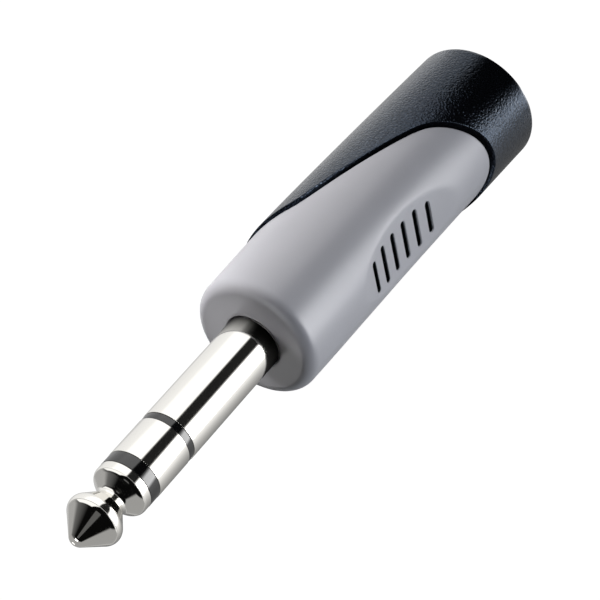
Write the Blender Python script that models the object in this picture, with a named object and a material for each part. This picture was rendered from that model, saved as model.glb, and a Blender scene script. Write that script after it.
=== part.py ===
"""Audio adapter: a 6.35 mm stereo plug at one end of a slim two-colour body, a 3.5 mm stereo socket
at the other.

The adapter stands on its rear end, with the plug up. Z is the plug's axis, z = 0 is the rear face,
and +X points to the middle of the finger rest. Lengths are in metres.

A grey front shell carries the plug. Its long tongue runs back over the black core of the rear
shell, whose full-size barrel closes the body and holds the socket. The grey surface and the black
barrel follow one barrel shape that leans towards the finger rest as it runs back.
"""
import math

import bmesh
import bpy
from mathutils import Vector

# Clearances
SEAT = 0.0003             # between pieces that rest on each other
FIT = 0.0001              # round the pressed pieces of the plug stack
HOLE_FIT = 0.0001         # round the plug where it leaves the front shell

# Body
BODY_LENGTH = 0.0450
FRONT_RADIUS = 0.00722    # grey surface at the front face
WAIST_RADIUS = 0.00738    # fullest grey section
WAIST_BACK = 0.0140       # its distance behind the front face
REAR_RADIUS = 0.00720     # what the grey taper would reach at the rear face
PROUD = 0.0003            # black barrel above the grey surface
REAR_LEAN = 0.00116       # how far the rear section's centre stands off the plug axis
LEAN_BACK = 0.0100        # distance behind the front face where the lean begins
LEAN_POWER = 1.5
FRONT_EDGE = 0.0013       # rounding of the front edge
REAR_EDGE = 0.0008        # rounding of the rear edge
CAP_WALL = 0.0030         # front wall that the plug passes
CORE_BORE = 0.0041        # room for the plug's tags and the wires
CORE_SHARE = 0.45         # black core's share of the wall between that bore and the grey surface
CORE_RADIUS = CORE_BORE + CORE_SHARE * (WAIST_RADIUS - CORE_BORE)
REAR_WALL = 0.0016

# Seam between grey and black, seen from the side: finger, diagonal and tongue
SEAM_GAP = 0.00042
FINGER_BACK = 0.00877     # tip of the black finger behind the front face
FINGER_SLOPE = 0.95
DIAGONAL_BACK = 0.02024   # where the diagonal crosses the plug axis
DIAGONAL_SLOPE = 3.18
TONGUE_BACK = 0.03589     # tip of the grey tongue behind the front face
TONGUE_SLOPE = 1.17
SEAM_SOFTNESS = 0.0012    # rounding where the three stretches meet

# Finger rest
REST_BACK = 0.01905       # middle of the scoop behind the front face
REST_DEPTH = 0.00106
REST_SWEEP = 0.0370       # radius of the scoop along the body
SLOT_COUNT = 6
SLOT_PITCH = 0.00218
SLOT_WIDTH = 0.00075
SLOT_LENGTH = 0.0049
END_SLOT_LENGTH = 0.0041

# Plug, in front of the body
SLEEVE_RADIUS = 0.003175
SLEEVE_REACH = 0.01532
RING_RADIUS = 0.00315
RING_LENGTH = 0.00499
RING_GAP = 0.00090        # between sleeve and ring
TIP_GAP = 0.00151         # between ring and tip
COLLAR_RADIUS = 0.00312   # moulded insulators
HEAD_LENGTH = 0.00848
HEAD_RIM_RADIUS = 0.00310
BALL_RADIUS = 0.00306
NECK_RADIUS = 0.00141     # where the two flanks would meet
NECK_HEIGHT = 0.00241     # above the back of the head
RIM_FLANK = math.radians(51.8)
BALL_FLANK = math.radians(36.5)
NOSE_FLANK = math.radians(45.8)
NOSE_ROUND = 0.00117
BALL_ROUND = 0.00117
NECK_ROUND = 0.0006
RIM_ROUND = 0.0008
PLUG_CHAMFER = 0.00008

# Plug stack, tube in tube
ROD_RADIUS = 0.00085
TIP_TUBE_WALL = 0.00035
RING_TUBE_WALL = 0.00040
RING_INSULATOR_WALL = 0.00035
FLANGE_RADIUS = 0.0045
FLANGE_THICKNESS = 0.0012
SHANK_RADIUS = 0.00295
SHANK_LENGTH = 0.0015
BACK_INSULATOR_THICKNESS = 0.0010
LUG_WASHER_THICKNESS = 0.0008
TAG_THICKNESS = 0.0004
TAG_WIDTH = 0.0016
TAG_RADIUS = 0.00335      # inner face of the tags' tails
TAIL_DEPTH = 0.0130       # ends of the tails behind the front face
LUG_RING_SHARE = 2.4      # a tag's ring against its bore, where the core leaves room for it
WASHER_INSET = 0.0002     # lug washer below the shank's radius
RIVET_RADIUS = 0.0015
RIVET_THICKNESS = 0.0008

# Socket, on the middle of the rear face
SOCKET_BORE = 0.00180
BUSH_RADIUS = 0.0026
BUSH_RECESS = 0.0003
BUSH_FLANGE_RADIUS = 0.0037
BUSH_FLANGE_THICKNESS = 0.0006
BUSH_LINER_RADIUS = 0.0023
BUSH_LENGTH = 0.0067
MOULDING_RADIUS = 0.0039
MOULDING_LENGTH = 0.0134
MOULDING_TOP_WALL = 0.0012
SPRING_THICKNESS = 0.0003
SPRING_WIDTH = 0.0014
WINDOW_MARGIN = 0.0002    # beside a spring in its window
SPRING_RADIUS = 0.0030
SLEEVE_TAG_RADIUS = 0.0036
CONTACT_RADIUS = 0.0017
RING_CONTACT_HEIGHT = 0.0085
TIP_CONTACT_HEIGHT = 0.0116
SPRING_TOP = 0.0170

# Hook-up wires and the three sides that they run on
WIRE_RADIUS = 0.00045
TIP_SIDE = math.radians(100.0)
RING_SIDE = math.radians(260.0)
SLEEVE_SIDE = math.radians(180.0)

# Fineness of the round shapes
EDGE_STEPS = 6            # steps of a rounded edge
BODY_SEGMENTS = 64
PLUG_SEGMENTS = 40
SOCKET_SEGMENTS = 32
SEAM_SEGMENTS = 80


def clear_scene():
    for obj in list(bpy.data.objects):
        bpy.data.objects.remove(obj, do_unlink=True)


def make_material(name, colour, roughness, metallic=0.0):
    material = bpy.data.materials.new(name)
    material.use_nodes = True
    shader = material.node_tree.nodes["Principled BSDF"]
    shader.inputs["Base Color"].default_value = (*colour, 1.0)
    shader.inputs["Roughness"].default_value = roughness
    shader.inputs["Metallic"].default_value = metallic
    material.diffuse_color = (*colour, 1.0)
    return material


def add_object(name, shape, material=None, parent=None):
    """Turn a bmesh into a smooth-shaded object."""
    bmesh.ops.remove_doubles(shape, verts=shape.verts, dist=1e-7)
    bmesh.ops.recalc_face_normals(shape, faces=shape.faces)
    mesh = bpy.data.meshes.new(name)
    shape.to_mesh(mesh)
    shape.free()
    mesh.shade_smooth()
    mesh.set_sharp_from_angle(angle=math.radians(30.0))
    obj = bpy.data.objects.new(name, mesh)
    bpy.context.scene.collection.objects.link(obj)
    obj.parent = parent
    if material:
        mesh.materials.append(material)
    return obj


def add_cutter(name, shape, parent=None):
    cutter = add_object(name, shape, parent=parent)
    cutter.hide_render = True
    cutter.display_type = "WIRE"
    return cutter


def combine(target, other, operation):
    boolean = target.modifiers.new(f"{operation.lower()} {other.name}", "BOOLEAN")
    boolean.operation = operation
    boolean.solver = "EXACT"
    boolean.object = other


def empty(name, location):
    obj = bpy.data.objects.new(name, None)
    obj.location = location
    bpy.context.scene.collection.objects.link(obj)
    return obj


def turned(profile, segments):
    """Closed solid turned about Z from a closed outline of (radius, height) points."""
    shape = bmesh.new()
    points = [shape.verts.new((radius, 0.0, height)) for radius, height in profile]
    edges = []
    for start, end in zip(points, points[1:] + points[:1]):
        if start.co.x > 0.0 or end.co.x > 0.0:
            edges.append(shape.edges.new((start, end)))
    bmesh.ops.spin(shape, geom=points + edges, cent=(0.0, 0.0, 0.0), axis=(0.0, 0.0, 1.0),
                   angle=2.0 * math.pi, steps=segments, use_merge=True)
    return shape


def tube(inner, outer, low, high):
    return [(outer, high), (outer, low), (inner, low), (inner, high)]


def box(low, high):
    shape = bmesh.new()
    bmesh.ops.create_cube(shape, size=1.0)
    size = Vector(high) - Vector(low)
    middle = (Vector(high) + Vector(low)) / 2.0
    for vert in shape.verts:
        vert.co = Vector(a * b for a, b in zip(vert.co, size)) + middle
    return shape


def turn_about_z(shape, angle):
    cosine, sine = math.cos(angle), math.sin(angle)
    for vert in shape.verts:
        x, y, z = vert.co
        vert.co = (x * cosine - y * sine, x * sine + y * cosine, z)
    return shape


def rounded_corner(before, corner, after, radius, steps=5):
    """Arc of the given radius that rounds one corner of an outline."""
    corner = Vector(corner)
    back = (Vector(before) - corner).normalized()
    ahead = (Vector(after) - corner).normalized()
    half_angle = back.angle(ahead) / 2.0
    centre = corner + (back + ahead).normalized() * (radius / math.sin(half_angle))
    start = corner + back * (radius / math.tan(half_angle)) - centre
    sweep = start.angle_signed(corner + ahead * (radius / math.tan(half_angle)) - centre)
    arc = []
    for step in range(steps + 1):
        angle = -sweep * step / steps
        cosine, sine = math.cos(angle), math.sin(angle)
        arc.append(tuple(centre + Vector((start.x * cosine - start.y * sine,
                                          start.x * sine + start.y * cosine))))
    return arc


def lofted(sections, segments):
    """Closed solid through circular sections given as (centre x, radius, height)."""
    shape = bmesh.new()
    rings = []
    for centre, radius, height in sections:
        ring = []
        for index in range(segments):
            angle = 2.0 * math.pi * index / segments
            x, y = centre + radius * math.cos(angle), radius * math.sin(angle)
            ring.append(shape.verts.new((x, y, height)))
        rings.append(ring)
    for low, high in zip(rings, rings[1:]):
        for index in range(segments):
            after = (index + 1) % segments
            shape.faces.new((low[index], low[after], high[after], high[index]))
    shape.faces.new(rings[0][::-1])
    shape.faces.new(rings[-1])
    return shape


# Shape of the body

def lean(back):
    """Offset of the section's centre towards the finger rest."""
    run = max(0.0, back - LEAN_BACK) / (BODY_LENGTH - LEAN_BACK)
    return REAR_LEAN * run ** LEAN_POWER


def grey_radius(back):
    if back < WAIST_BACK:
        return WAIST_RADIUS - (WAIST_RADIUS - FRONT_RADIUS) * (1.0 - back / WAIST_BACK) ** 2
    return WAIST_RADIUS - (WAIST_RADIUS - REAR_RADIUS) * (back - WAIST_BACK) / (BODY_LENGTH - WAIST_BACK)


def body_sections(low, high, proud, stations=15):
    """Sections of the barrel shape between two heights, with its rounded ends."""
    heights = [low + (high - low) * index / stations for index in range(stations + 1)]
    for step in range(1, EDGE_STEPS + 1):
        depth = 1.0 - math.cos(math.pi / 2.0 * step / EDGE_STEPS)
        heights += [BODY_LENGTH - FRONT_EDGE * depth, REAR_EDGE * depth]
    heights = sorted(height for height in set(heights) if low <= height <= high)
    sections = []
    for height in heights:
        back = BODY_LENGTH - height
        inset = 0.0
        if back < FRONT_EDGE:
            inset = FRONT_EDGE - math.sqrt(max(0.0, FRONT_EDGE ** 2 - (FRONT_EDGE - back) ** 2))
        if height < REAR_EDGE:
            inset = REAR_EDGE - math.sqrt(max(0.0, REAR_EDGE ** 2 - (REAR_EDGE - height) ** 2))
        sections.append((lean(back), grey_radius(back) + proud - inset, height))
    return sections


def seam_height(angle, gap):
    """Height of the seam at an angle round from +X, moved back by a gap."""
    across = WAIST_RADIUS * math.cos(angle)
    finger = FINGER_BACK + FINGER_SLOPE * (across + WAIST_RADIUS) + gap * math.hypot(1.0, FINGER_SLOPE)
    diagonal = DIAGONAL_BACK + DIAGONAL_SLOPE * across + gap * math.hypot(1.0, DIAGONAL_SLOPE)
    tongue = TONGUE_BACK - TONGUE_SLOPE * (WAIST_RADIUS - across) + gap * math.hypot(1.0, TONGUE_SLOPE)
    lower = (diagonal + tongue - math.hypot(diagonal - tongue, SEAM_SOFTNESS)) / 2.0
    back = (finger + lower + math.hypot(finger - lower, SEAM_SOFTNESS)) / 2.0
    return BODY_LENGTH - back


def seam_tube(inner, outer, gap, flat_height):
    """Thick tube with one flat end and one end that follows the seam."""
    shape = bmesh.new()
    rows = []
    for index in range(SEAM_SEGMENTS):
        angle = 2.0 * math.pi * index / SEAM_SEGMENTS
        height = seam_height(angle, gap)
        cosine, sine = math.cos(angle), math.sin(angle)
        corners = ((inner, flat_height), (outer, flat_height), (outer, height), (inner, height))
        rows.append([shape.verts.new((radius * cosine, radius * sine, z)) for radius, z in corners])
    for row, after in zip(rows, rows[1:] + rows[:1]):
        for index in range(4):
            following = (index + 1) % 4
            shape.faces.new((row[index], after[index], after[following], row[following]))
    return shape


def stadium_prism(length, width, height, low, high, steps=6):
    """Bar along X with round ends in Y, centred on a height."""
    shape = bmesh.new()
    half = (length - width) / 2.0
    outline = []
    for side, start in ((half, -math.pi / 2.0), (-half, math.pi / 2.0)):
        for step in range(steps + 1):
            angle = start + math.pi * step / steps
            outline.append((side + width / 2.0 * math.cos(angle), height + width / 2.0 * math.sin(angle)))
    face = shape.faces.new([shape.verts.new((low, y, z)) for y, z in outline])
    grown = bmesh.ops.extrude_face_region(shape, geom=[face])
    moved = [item for item in grown["geom"] if isinstance(item, bmesh.types.BMVert)]
    bmesh.ops.translate(shape, verts=moved, vec=(high - low, 0.0, 0.0))
    return shape


def rest_floor():
    """Height of the scoop's lowest line above the plug axis."""
    return grey_radius(REST_BACK) + lean(REST_BACK) - REST_DEPTH


def scoop_cutter(steps=16):
    """Sector of a wide drum laid across the body; it hollows the finger rest."""
    shape = bmesh.new()
    outside = 2.0 * WAIST_RADIUS
    centre_x = rest_floor() + REST_SWEEP
    centre_z = BODY_LENGTH - REST_BACK
    reach = math.acos(1.0 - 2.0 * REST_DEPTH / REST_SWEEP)
    outline = []
    for step in range(steps + 1):
        angle = reach * (2.0 * step / steps - 1.0)
        outline.append((centre_x - REST_SWEEP * math.cos(angle), centre_z + REST_SWEEP * math.sin(angle)))
    outline += [(outside, outline[-1][1]), (outside, outline[0][1])]
    face = shape.faces.new([shape.verts.new((x, -outside, z)) for x, z in outline])
    grown = bmesh.ops.extrude_face_region(shape, geom=[face])
    moved = [item for item in grown["geom"] if isinstance(item, bmesh.types.BMVert)]
    bmesh.ops.translate(shape, verts=moved, vec=(0.0, 2.0 * outside, 0.0))
    return shape


# Shells

def make_front_shell(material):
    far = 2.0 * WAIST_RADIUS
    bore = CORE_RADIUS + SEAT
    hole = SLEEVE_RADIUS + HOLE_FIT
    shell = add_object("front_shell", lofted(body_sections(0.0, BODY_LENGTH, 0.0), BODY_SEGMENTS), material)
    behind = add_cutter("behind_seam", seam_tube(CORE_BORE, far, 0.0, -BODY_LENGTH))
    bore_profile = [(0.0, BODY_LENGTH + CAP_WALL), (hole, BODY_LENGTH + CAP_WALL),
                    (hole, BODY_LENGTH - CAP_WALL), (bore, BODY_LENGTH - CAP_WALL),
                    (bore, -BODY_LENGTH), (0.0, -BODY_LENGTH)]
    inside = add_cutter("front_bore", turned(bore_profile, BODY_SEGMENTS))
    scoop = add_cutter("rest_scoop", scoop_cutter())
    for cutter in (behind, inside, scoop):
        combine(shell, cutter, "DIFFERENCE")
    middle = BODY_LENGTH - REST_BACK
    for index in range(SLOT_COUNT):
        length = END_SLOT_LENGTH if index in (0, SLOT_COUNT - 1) else SLOT_LENGTH
        height = middle + SLOT_PITCH * (index - (SLOT_COUNT - 1) / 2.0)
        bar = stadium_prism(length, SLOT_WIDTH, height, CORE_BORE, far)
        combine(shell, add_cutter(f"slot_{index + 1}", bar), "DIFFERENCE")
    return shell


def make_rear_shell(material):
    far = 2.0 * WAIST_RADIUS
    core_top = BODY_LENGTH - CAP_WALL - SEAT
    ledge = core_top - FLANGE_THICKNESS - SEAT
    chamber = MOULDING_RADIUS + SEAT
    chamber_top = SPRING_TOP + 2.0 * SEAT + 2.0 * WIRE_RADIUS
    shell = add_object("rear_shell", lofted(body_sections(0.0, core_top, PROUD), BODY_SEGMENTS), material)
    before = add_cutter("before_seam", seam_tube(CORE_RADIUS, far, SEAM_GAP, BODY_LENGTH + CAP_WALL))
    core_profile = [(0.0, BODY_LENGTH), (FLANGE_RADIUS + SEAT, BODY_LENGTH), (FLANGE_RADIUS + SEAT, ledge),
                    (CORE_BORE, ledge), (CORE_BORE, SPRING_TOP), (0.0, SPRING_TOP)]
    core = add_cutter("core_bore", turned(core_profile, BODY_SEGMENTS))
    socket_profile = [(0.0, chamber_top), (chamber, chamber_top), (chamber, REAR_WALL),
                      (BUSH_RADIUS + FIT, REAR_WALL), (BUSH_RADIUS + FIT, -REAR_WALL), (0.0, -REAR_WALL)]
    socket = add_cutter("socket_chamber", turned(socket_profile, SOCKET_SEGMENTS))
    socket.location.x = REAR_LEAN
    for cutter in (before, core, socket):
        combine(shell, cutter, "DIFFERENCE")
    return shell


# Plug, in its own frame with z = 0 at the body's front face

def stack_levels():
    """Heights of the plug's front pieces and, below the face, of the pieces behind them."""
    level = {"sleeve_top": SLEEVE_REACH}
    level["ring_bottom"] = level["sleeve_top"] + RING_GAP
    level["ring_top"] = level["ring_bottom"] + RING_LENGTH
    level["head_bottom"] = level["ring_top"] + TIP_GAP
    level["flange_top"] = -CAP_WALL - SEAT
    level["flange_bottom"] = level["flange_top"] - FLANGE_THICKNESS
    level["shank_bottom"] = level["flange_bottom"] - SHANK_LENGTH
    level["sleeve_lug"] = level["flange_bottom"] - SEAT
    level["back_insulator"] = level["shank_bottom"] - SEAT
    level["ring_lug"] = level["back_insulator"] - BACK_INSULATOR_THICKNESS - SEAT
    level["ring_tube_bottom"] = level["ring_lug"] - TAG_THICKNESS - SEAT
    level["lug_washer"] = level["ring_tube_bottom"] - SEAT
    level["washer_bottom"] = level["lug_washer"] - LUG_WASHER_THICKNESS
    level["tip_lug"] = level["washer_bottom"] - SEAT
    level["rivet_top"] = level["tip_lug"] - TAG_THICKNESS - SEAT
    return level


def stack_radii():
    """Inner and outer radius of each tube, from the rod outwards."""
    tip_tube = (ROD_RADIUS + FIT, ROD_RADIUS + FIT + TIP_TUBE_WALL)
    ring_tube = (tip_tube[1] + FIT, tip_tube[1] + FIT + RING_TUBE_WALL)
    ring_insulator = (ring_tube[1] + FIT, ring_tube[1] + FIT + RING_INSULATOR_WALL)
    return tip_tube, ring_tube, ring_insulator, ring_insulator[1] + FIT


def make_tip(level, material, parent):
    """Nose cone, ball, neck and rim in one turning with the long centre rod."""
    back = level["head_bottom"]
    neck = (NECK_RADIUS, back + NECK_HEIGHT)
    rim_rise = (HEAD_RIM_RADIUS - NECK_RADIUS) / math.tan(RIM_FLANK)
    rim = (HEAD_RIM_RADIUS, neck[1] - rim_rise)
    half_turn = (BALL_FLANK + NOSE_FLANK) / 2.0
    crest_radius = BALL_RADIUS + BALL_ROUND * (1.0 / math.cos(half_turn) - 1.0)
    crest = (crest_radius, neck[1] + (crest_radius - NECK_RADIUS) / math.tan(BALL_FLANK))
    apex = (0.0, crest[1] + crest_radius / math.tan(NOSE_FLANK))
    nose_centre = back + HEAD_LENGTH - NOSE_ROUND
    nose = []
    for step in range(7):
        angle = math.pi / 2.0 - (math.pi / 2.0 - NOSE_FLANK) * step / 6
        nose.append((NOSE_ROUND * math.cos(angle), nose_centre + NOSE_ROUND * math.sin(angle)))
    nose[0] = (0.0, back + HEAD_LENGTH)
    profile = nose
    profile += rounded_corner(apex, crest, neck, BALL_ROUND)
    profile += rounded_corner(crest, neck, rim, NECK_ROUND)
    profile += rounded_corner(neck, rim, (HEAD_RIM_RADIUS, back), RIM_ROUND)
    profile += [(HEAD_RIM_RADIUS, back + PLUG_CHAMFER), (HEAD_RIM_RADIUS - PLUG_CHAMFER, back)]
    rivet = level["rivet_top"]
    profile += [(ROD_RADIUS, back), (ROD_RADIUS, rivet), (RIVET_RADIUS, rivet),
                (RIVET_RADIUS, rivet - RIVET_THICKNESS / 2.0), (ROD_RADIUS, rivet - RIVET_THICKNESS),
                (0.0, rivet - RIVET_THICKNESS)]
    return add_object("tip_contact", turned(profile, PLUG_SEGMENTS), material, parent)


def collar_and_tube(collar_radius, collar_low, collar_high, bore, tube_radius, tube_low):
    return [(collar_radius, collar_high), (collar_radius, collar_low), (tube_radius, collar_low),
            (tube_radius, tube_low), (bore, tube_low), (bore, collar_high)]


def make_plug(materials):
    parent = empty("plug_axis", (0.0, 0.0, BODY_LENGTH))
    level = stack_levels()
    tip_tube, ring_tube, ring_insulator, sleeve_bore = stack_radii()
    make_tip(level, materials["nickel"], parent)
    profile = collar_and_tube(COLLAR_RADIUS, level["ring_top"] + FIT, level["head_bottom"] - FIT,
                              tip_tube[0], tip_tube[1], level["washer_bottom"])
    add_object("tip_insulator", turned(profile, PLUG_SEGMENTS), materials["insulator"], parent)
    low, high = level["ring_bottom"], level["ring_top"]
    profile = [(RING_RADIUS - PLUG_CHAMFER, high), (RING_RADIUS, high - PLUG_CHAMFER),
               (RING_RADIUS, low + PLUG_CHAMFER), (RING_RADIUS - PLUG_CHAMFER, low), (ring_tube[1], low),
               (ring_tube[1], level["ring_tube_bottom"]), (ring_tube[0], level["ring_tube_bottom"]),
               (ring_tube[0], high)]
    add_object("ring_contact", turned(profile, PLUG_SEGMENTS), materials["nickel"], parent)
    profile = collar_and_tube(COLLAR_RADIUS, level["sleeve_top"] + FIT, level["ring_bottom"] - FIT,
                              ring_insulator[0], ring_insulator[1], level["shank_bottom"])
    add_object("ring_insulator", turned(profile, PLUG_SEGMENTS), materials["insulator"], parent)
    top = level["sleeve_top"]
    profile = [(SLEEVE_RADIUS - PLUG_CHAMFER, top), (SLEEVE_RADIUS, top - PLUG_CHAMFER),
               (SLEEVE_RADIUS, level["flange_top"]), (FLANGE_RADIUS, level["flange_top"]),
               (FLANGE_RADIUS, level["flange_bottom"]), (SHANK_RADIUS, level["flange_bottom"]),
               (SHANK_RADIUS, level["shank_bottom"]), (sleeve_bore, level["shank_bottom"]),
               (sleeve_bore, top)]
    add_object("sleeve_contact", turned(profile, PLUG_SEGMENTS), materials["nickel"], parent)
    top = level["back_insulator"]
    profile = tube(ring_insulator[0], SHANK_RADIUS, top - BACK_INSULATOR_THICKNESS, top)
    add_object("back_insulator", turned(profile, PLUG_SEGMENTS), materials["insulator"], parent)
    top = level["lug_washer"]
    profile = tube(ring_tube[0], SHANK_RADIUS - WASHER_INSET, level["washer_bottom"], top)
    add_object("lug_washer", turned(profile, PLUG_SEGMENTS), materials["fibre"], parent)
    for name, bore, side in (("sleeve_lug", SHANK_RADIUS + FIT, SLEEVE_SIDE),
                             ("ring_lug", ring_insulator[0], RING_SIDE),
                             ("tip_lug", tip_tube[0], TIP_SIDE)):
        make_lug(name, bore, level[name], side, materials["tin"], parent)
    return parent


def make_lug(name, bore, top, side, material, parent):
    """Solder tag: a pressed ring with an arm whose tail is bent down along the core's wall."""
    ring_radius = max(bore + TAG_THICKNESS, min(SHANK_RADIUS - FIT, LUG_RING_SHARE * bore))
    low = top - TAG_THICKNESS
    lug = add_object(name, turned(tube(bore, ring_radius, low, top), PLUG_SEGMENTS), material, parent)
    half = TAG_WIDTH / 2.0
    outer = TAG_RADIUS + TAG_THICKNESS
    arm = turn_about_z(box((bore + TAG_THICKNESS / 2.0, -half, low), (outer, half, top)), side)
    tail = turn_about_z(box((TAG_RADIUS, -half, -TAIL_DEPTH), (outer, half, top)), side)
    combine(lug, add_cutter(f"{name}_arm", arm, parent), "UNION")
    combine(lug, add_cutter(f"{name}_tail", tail, parent), "UNION")
    return lug


# Socket, in its own frame with z = 0 at the rear face

def strip(name, path, side, material, parent):
    """Pressed contact strip that follows (radius, height) points on one side of the socket."""
    shape = bmesh.new()
    half = SPRING_WIDTH / 2.0
    pairs = [[shape.verts.new((radius, y, height)) for y in (-half, half)] for radius, height in path]
    for (a, b), (c, d) in zip(pairs, pairs[1:]):
        shape.faces.new((a, b, d, c))
    turn_about_z(shape, side)
    piece = add_object(name, shape, material, parent)
    wall = piece.modifiers.new("sheet thickness", "SOLIDIFY")
    wall.thickness = SPRING_THICKNESS
    wall.offset = 0.0
    return piece


def spring_path(contact_height):
    reach = SPRING_RADIUS - CONTACT_RADIUS
    return [(SPRING_RADIUS, SPRING_TOP), (SPRING_RADIUS, contact_height + 2.0 * reach),
            (CONTACT_RADIUS + reach / 4.0, contact_height + reach / 2.0), (CONTACT_RADIUS, contact_height),
            (CONTACT_RADIUS + reach / 4.0, contact_height - reach / 2.0),
            (CONTACT_RADIUS + reach / 2.0, contact_height - reach)]


def make_socket(materials):
    parent = empty("socket_axis", (REAR_LEAN, 0.0, 0.0))
    flange_low = REAR_WALL + SEAT
    flange_high = flange_low + BUSH_FLANGE_THICKNESS
    mouth = BUSH_RADIUS - 2.0 * FIT
    profile = [(BUSH_RADIUS, flange_low), (BUSH_RADIUS, BUSH_RECESS), (mouth, BUSH_RECESS),
               (SOCKET_BORE, BUSH_RECESS + mouth - SOCKET_BORE), (SOCKET_BORE, BUSH_LENGTH),
               (BUSH_LINER_RADIUS, BUSH_LENGTH), (BUSH_LINER_RADIUS, flange_high),
               (BUSH_FLANGE_RADIUS, flange_high), (BUSH_FLANGE_RADIUS, flange_low)]
    add_object("socket_bush", turned(profile, SOCKET_SEGMENTS), materials["nickel"], parent)
    low = flange_high + SEAT
    high = low + MOULDING_LENGTH
    bore_top = high - MOULDING_TOP_WALL
    profile = [(MOULDING_RADIUS, high), (MOULDING_RADIUS, low), (BUSH_LINER_RADIUS + FIT, low),
               (BUSH_LINER_RADIUS + FIT, BUSH_LENGTH + SEAT), (SOCKET_BORE + FIT, BUSH_LENGTH + SEAT),
               (SOCKET_BORE + FIT, bore_top), (0.0, bore_top), (0.0, high)]
    moulding = add_object("socket_body", turned(profile, SOCKET_SEGMENTS), materials["socket"], parent)
    half = SPRING_WIDTH / 2.0 + WINDOW_MARGIN
    reach = SPRING_RADIUS - CONTACT_RADIUS
    for name, side, contact in (("ring", RING_SIDE, RING_CONTACT_HEIGHT),
                                ("tip", TIP_SIDE, TIP_CONTACT_HEIGHT)):
        strip(f"socket_{name}_spring", spring_path(contact), side, materials["spring"], parent)
        window = box((SOCKET_BORE / 2.0, -half, contact - reach - SEAT - SPRING_THICKNESS),
                     (2.0 * MOULDING_RADIUS, half, 2.0 * high))
        combine(moulding, add_cutter(f"{name}_window", turn_about_z(window, side), parent), "DIFFERENCE")
    path = [(SLEEVE_TAG_RADIUS, SPRING_TOP), (SLEEVE_TAG_RADIUS, low)]
    strip("socket_sleeve_tag", path, SLEEVE_SIDE, materials["spring"], parent)
    floor = SLEEVE_TAG_RADIUS - SPRING_THICKNESS / 2.0 - SEAT
    groove = box((floor, -half, -BODY_LENGTH), (2.0 * MOULDING_RADIUS, half, BODY_LENGTH))
    combine(moulding, add_cutter("tag_groove", turn_about_z(groove, SLEEVE_SIDE), parent), "DIFFERENCE")
    return parent


# Wires between the plug's tags and the socket's contacts

def make_wire(name, side, socket_radius, material):
    """Insulated wire from the end of a plug tag to the end of a socket contact."""
    tag_middle = TAG_RADIUS + TAG_THICKNESS / 2.0
    cosine, sine = math.cos(side), math.sin(side)
    top = Vector((tag_middle * cosine, tag_middle * sine, BODY_LENGTH - TAIL_DEPTH - SEAT))
    low = Vector((REAR_LEAN + socket_radius * cosine, socket_radius * sine, SPRING_TOP + SEAT))
    rise = (top.z - low.z) / 2.0
    handles = (low, low + Vector((0.0, 0.0, rise)), top - Vector((0.0, 0.0, rise)), top)
    count = max(8, round((top - low).length / (5.0 * WIRE_RADIUS)))
    curve = bpy.data.curves.new(name, "CURVE")
    curve.dimensions = "3D"
    curve.bevel_depth = WIRE_RADIUS
    curve.bevel_resolution = 2
    curve.use_fill_caps = True
    spline = curve.splines.new("POLY")
    spline.points.add(count)
    for index, point in enumerate(spline.points):
        t = index / count
        weights = ((1 - t) ** 3, 3 * t * (1 - t) ** 2, 3 * t * t * (1 - t), t ** 3)
        place = sum((handle * weight for handle, weight in zip(handles, weights)), Vector())
        point.co = (*place, 1.0)
    wire = bpy.data.objects.new(name, curve)
    curve.materials.append(material)
    bpy.context.scene.collection.objects.link(wire)
    return wire


def main():
    clear_scene()
    materials = {
        "grey": make_material("grey moulded plastic", (0.42, 0.42, 0.44), 0.45),
        "black": make_material("black textured plastic", (0.012, 0.013, 0.018), 0.5),
        "nickel": make_material("nickel plating", (0.80, 0.79, 0.76), 0.12, 1.0),
        "insulator": make_material("black insulator", (0.010, 0.010, 0.012), 0.3),
        "fibre": make_material("fibre washer", (0.35, 0.10, 0.05), 0.8),
        "tin": make_material("tinned brass", (0.72, 0.70, 0.66), 0.3, 1.0),
        "socket": make_material("socket moulding", (0.02, 0.02, 0.02), 0.5),
        "spring": make_material("phosphor bronze", (0.78, 0.45, 0.25), 0.3, 1.0),
        "white": make_material("white wire", (0.75, 0.75, 0.75), 0.5),
        "red": make_material("red wire", (0.55, 0.03, 0.03), 0.5),
        "bare": make_material("black wire", (0.02, 0.02, 0.02), 0.5),
    }
    make_front_shell(materials["grey"])
    make_rear_shell(materials["black"])
    make_plug(materials)
    make_socket(materials)
    make_wire("tip_wire", TIP_SIDE, SPRING_RADIUS, materials["white"])
    make_wire("ring_wire", RING_SIDE, SPRING_RADIUS, materials["red"])
    make_wire("sleeve_wire", SLEEVE_SIDE, SLEEVE_TAG_RADIUS, materials["bare"])


main()
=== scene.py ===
"""Looks of a 6.35 mm stereo plug to 3.5 mm socket adapter, laid out as a Blender add-on.

The adapter stands on its rear end with the plug up. Z is the plug's axis, z = 0 is the rear face, and
+X points to the middle of the finger rest. Lengths are in metres.
"""
import math

import bmesh
import bpy
from bpy.props import FloatProperty, FloatVectorProperty, IntProperty, PointerProperty
from bpy.types import Operator, Panel, PropertyGroup
from mathutils import Matrix, Vector


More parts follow.
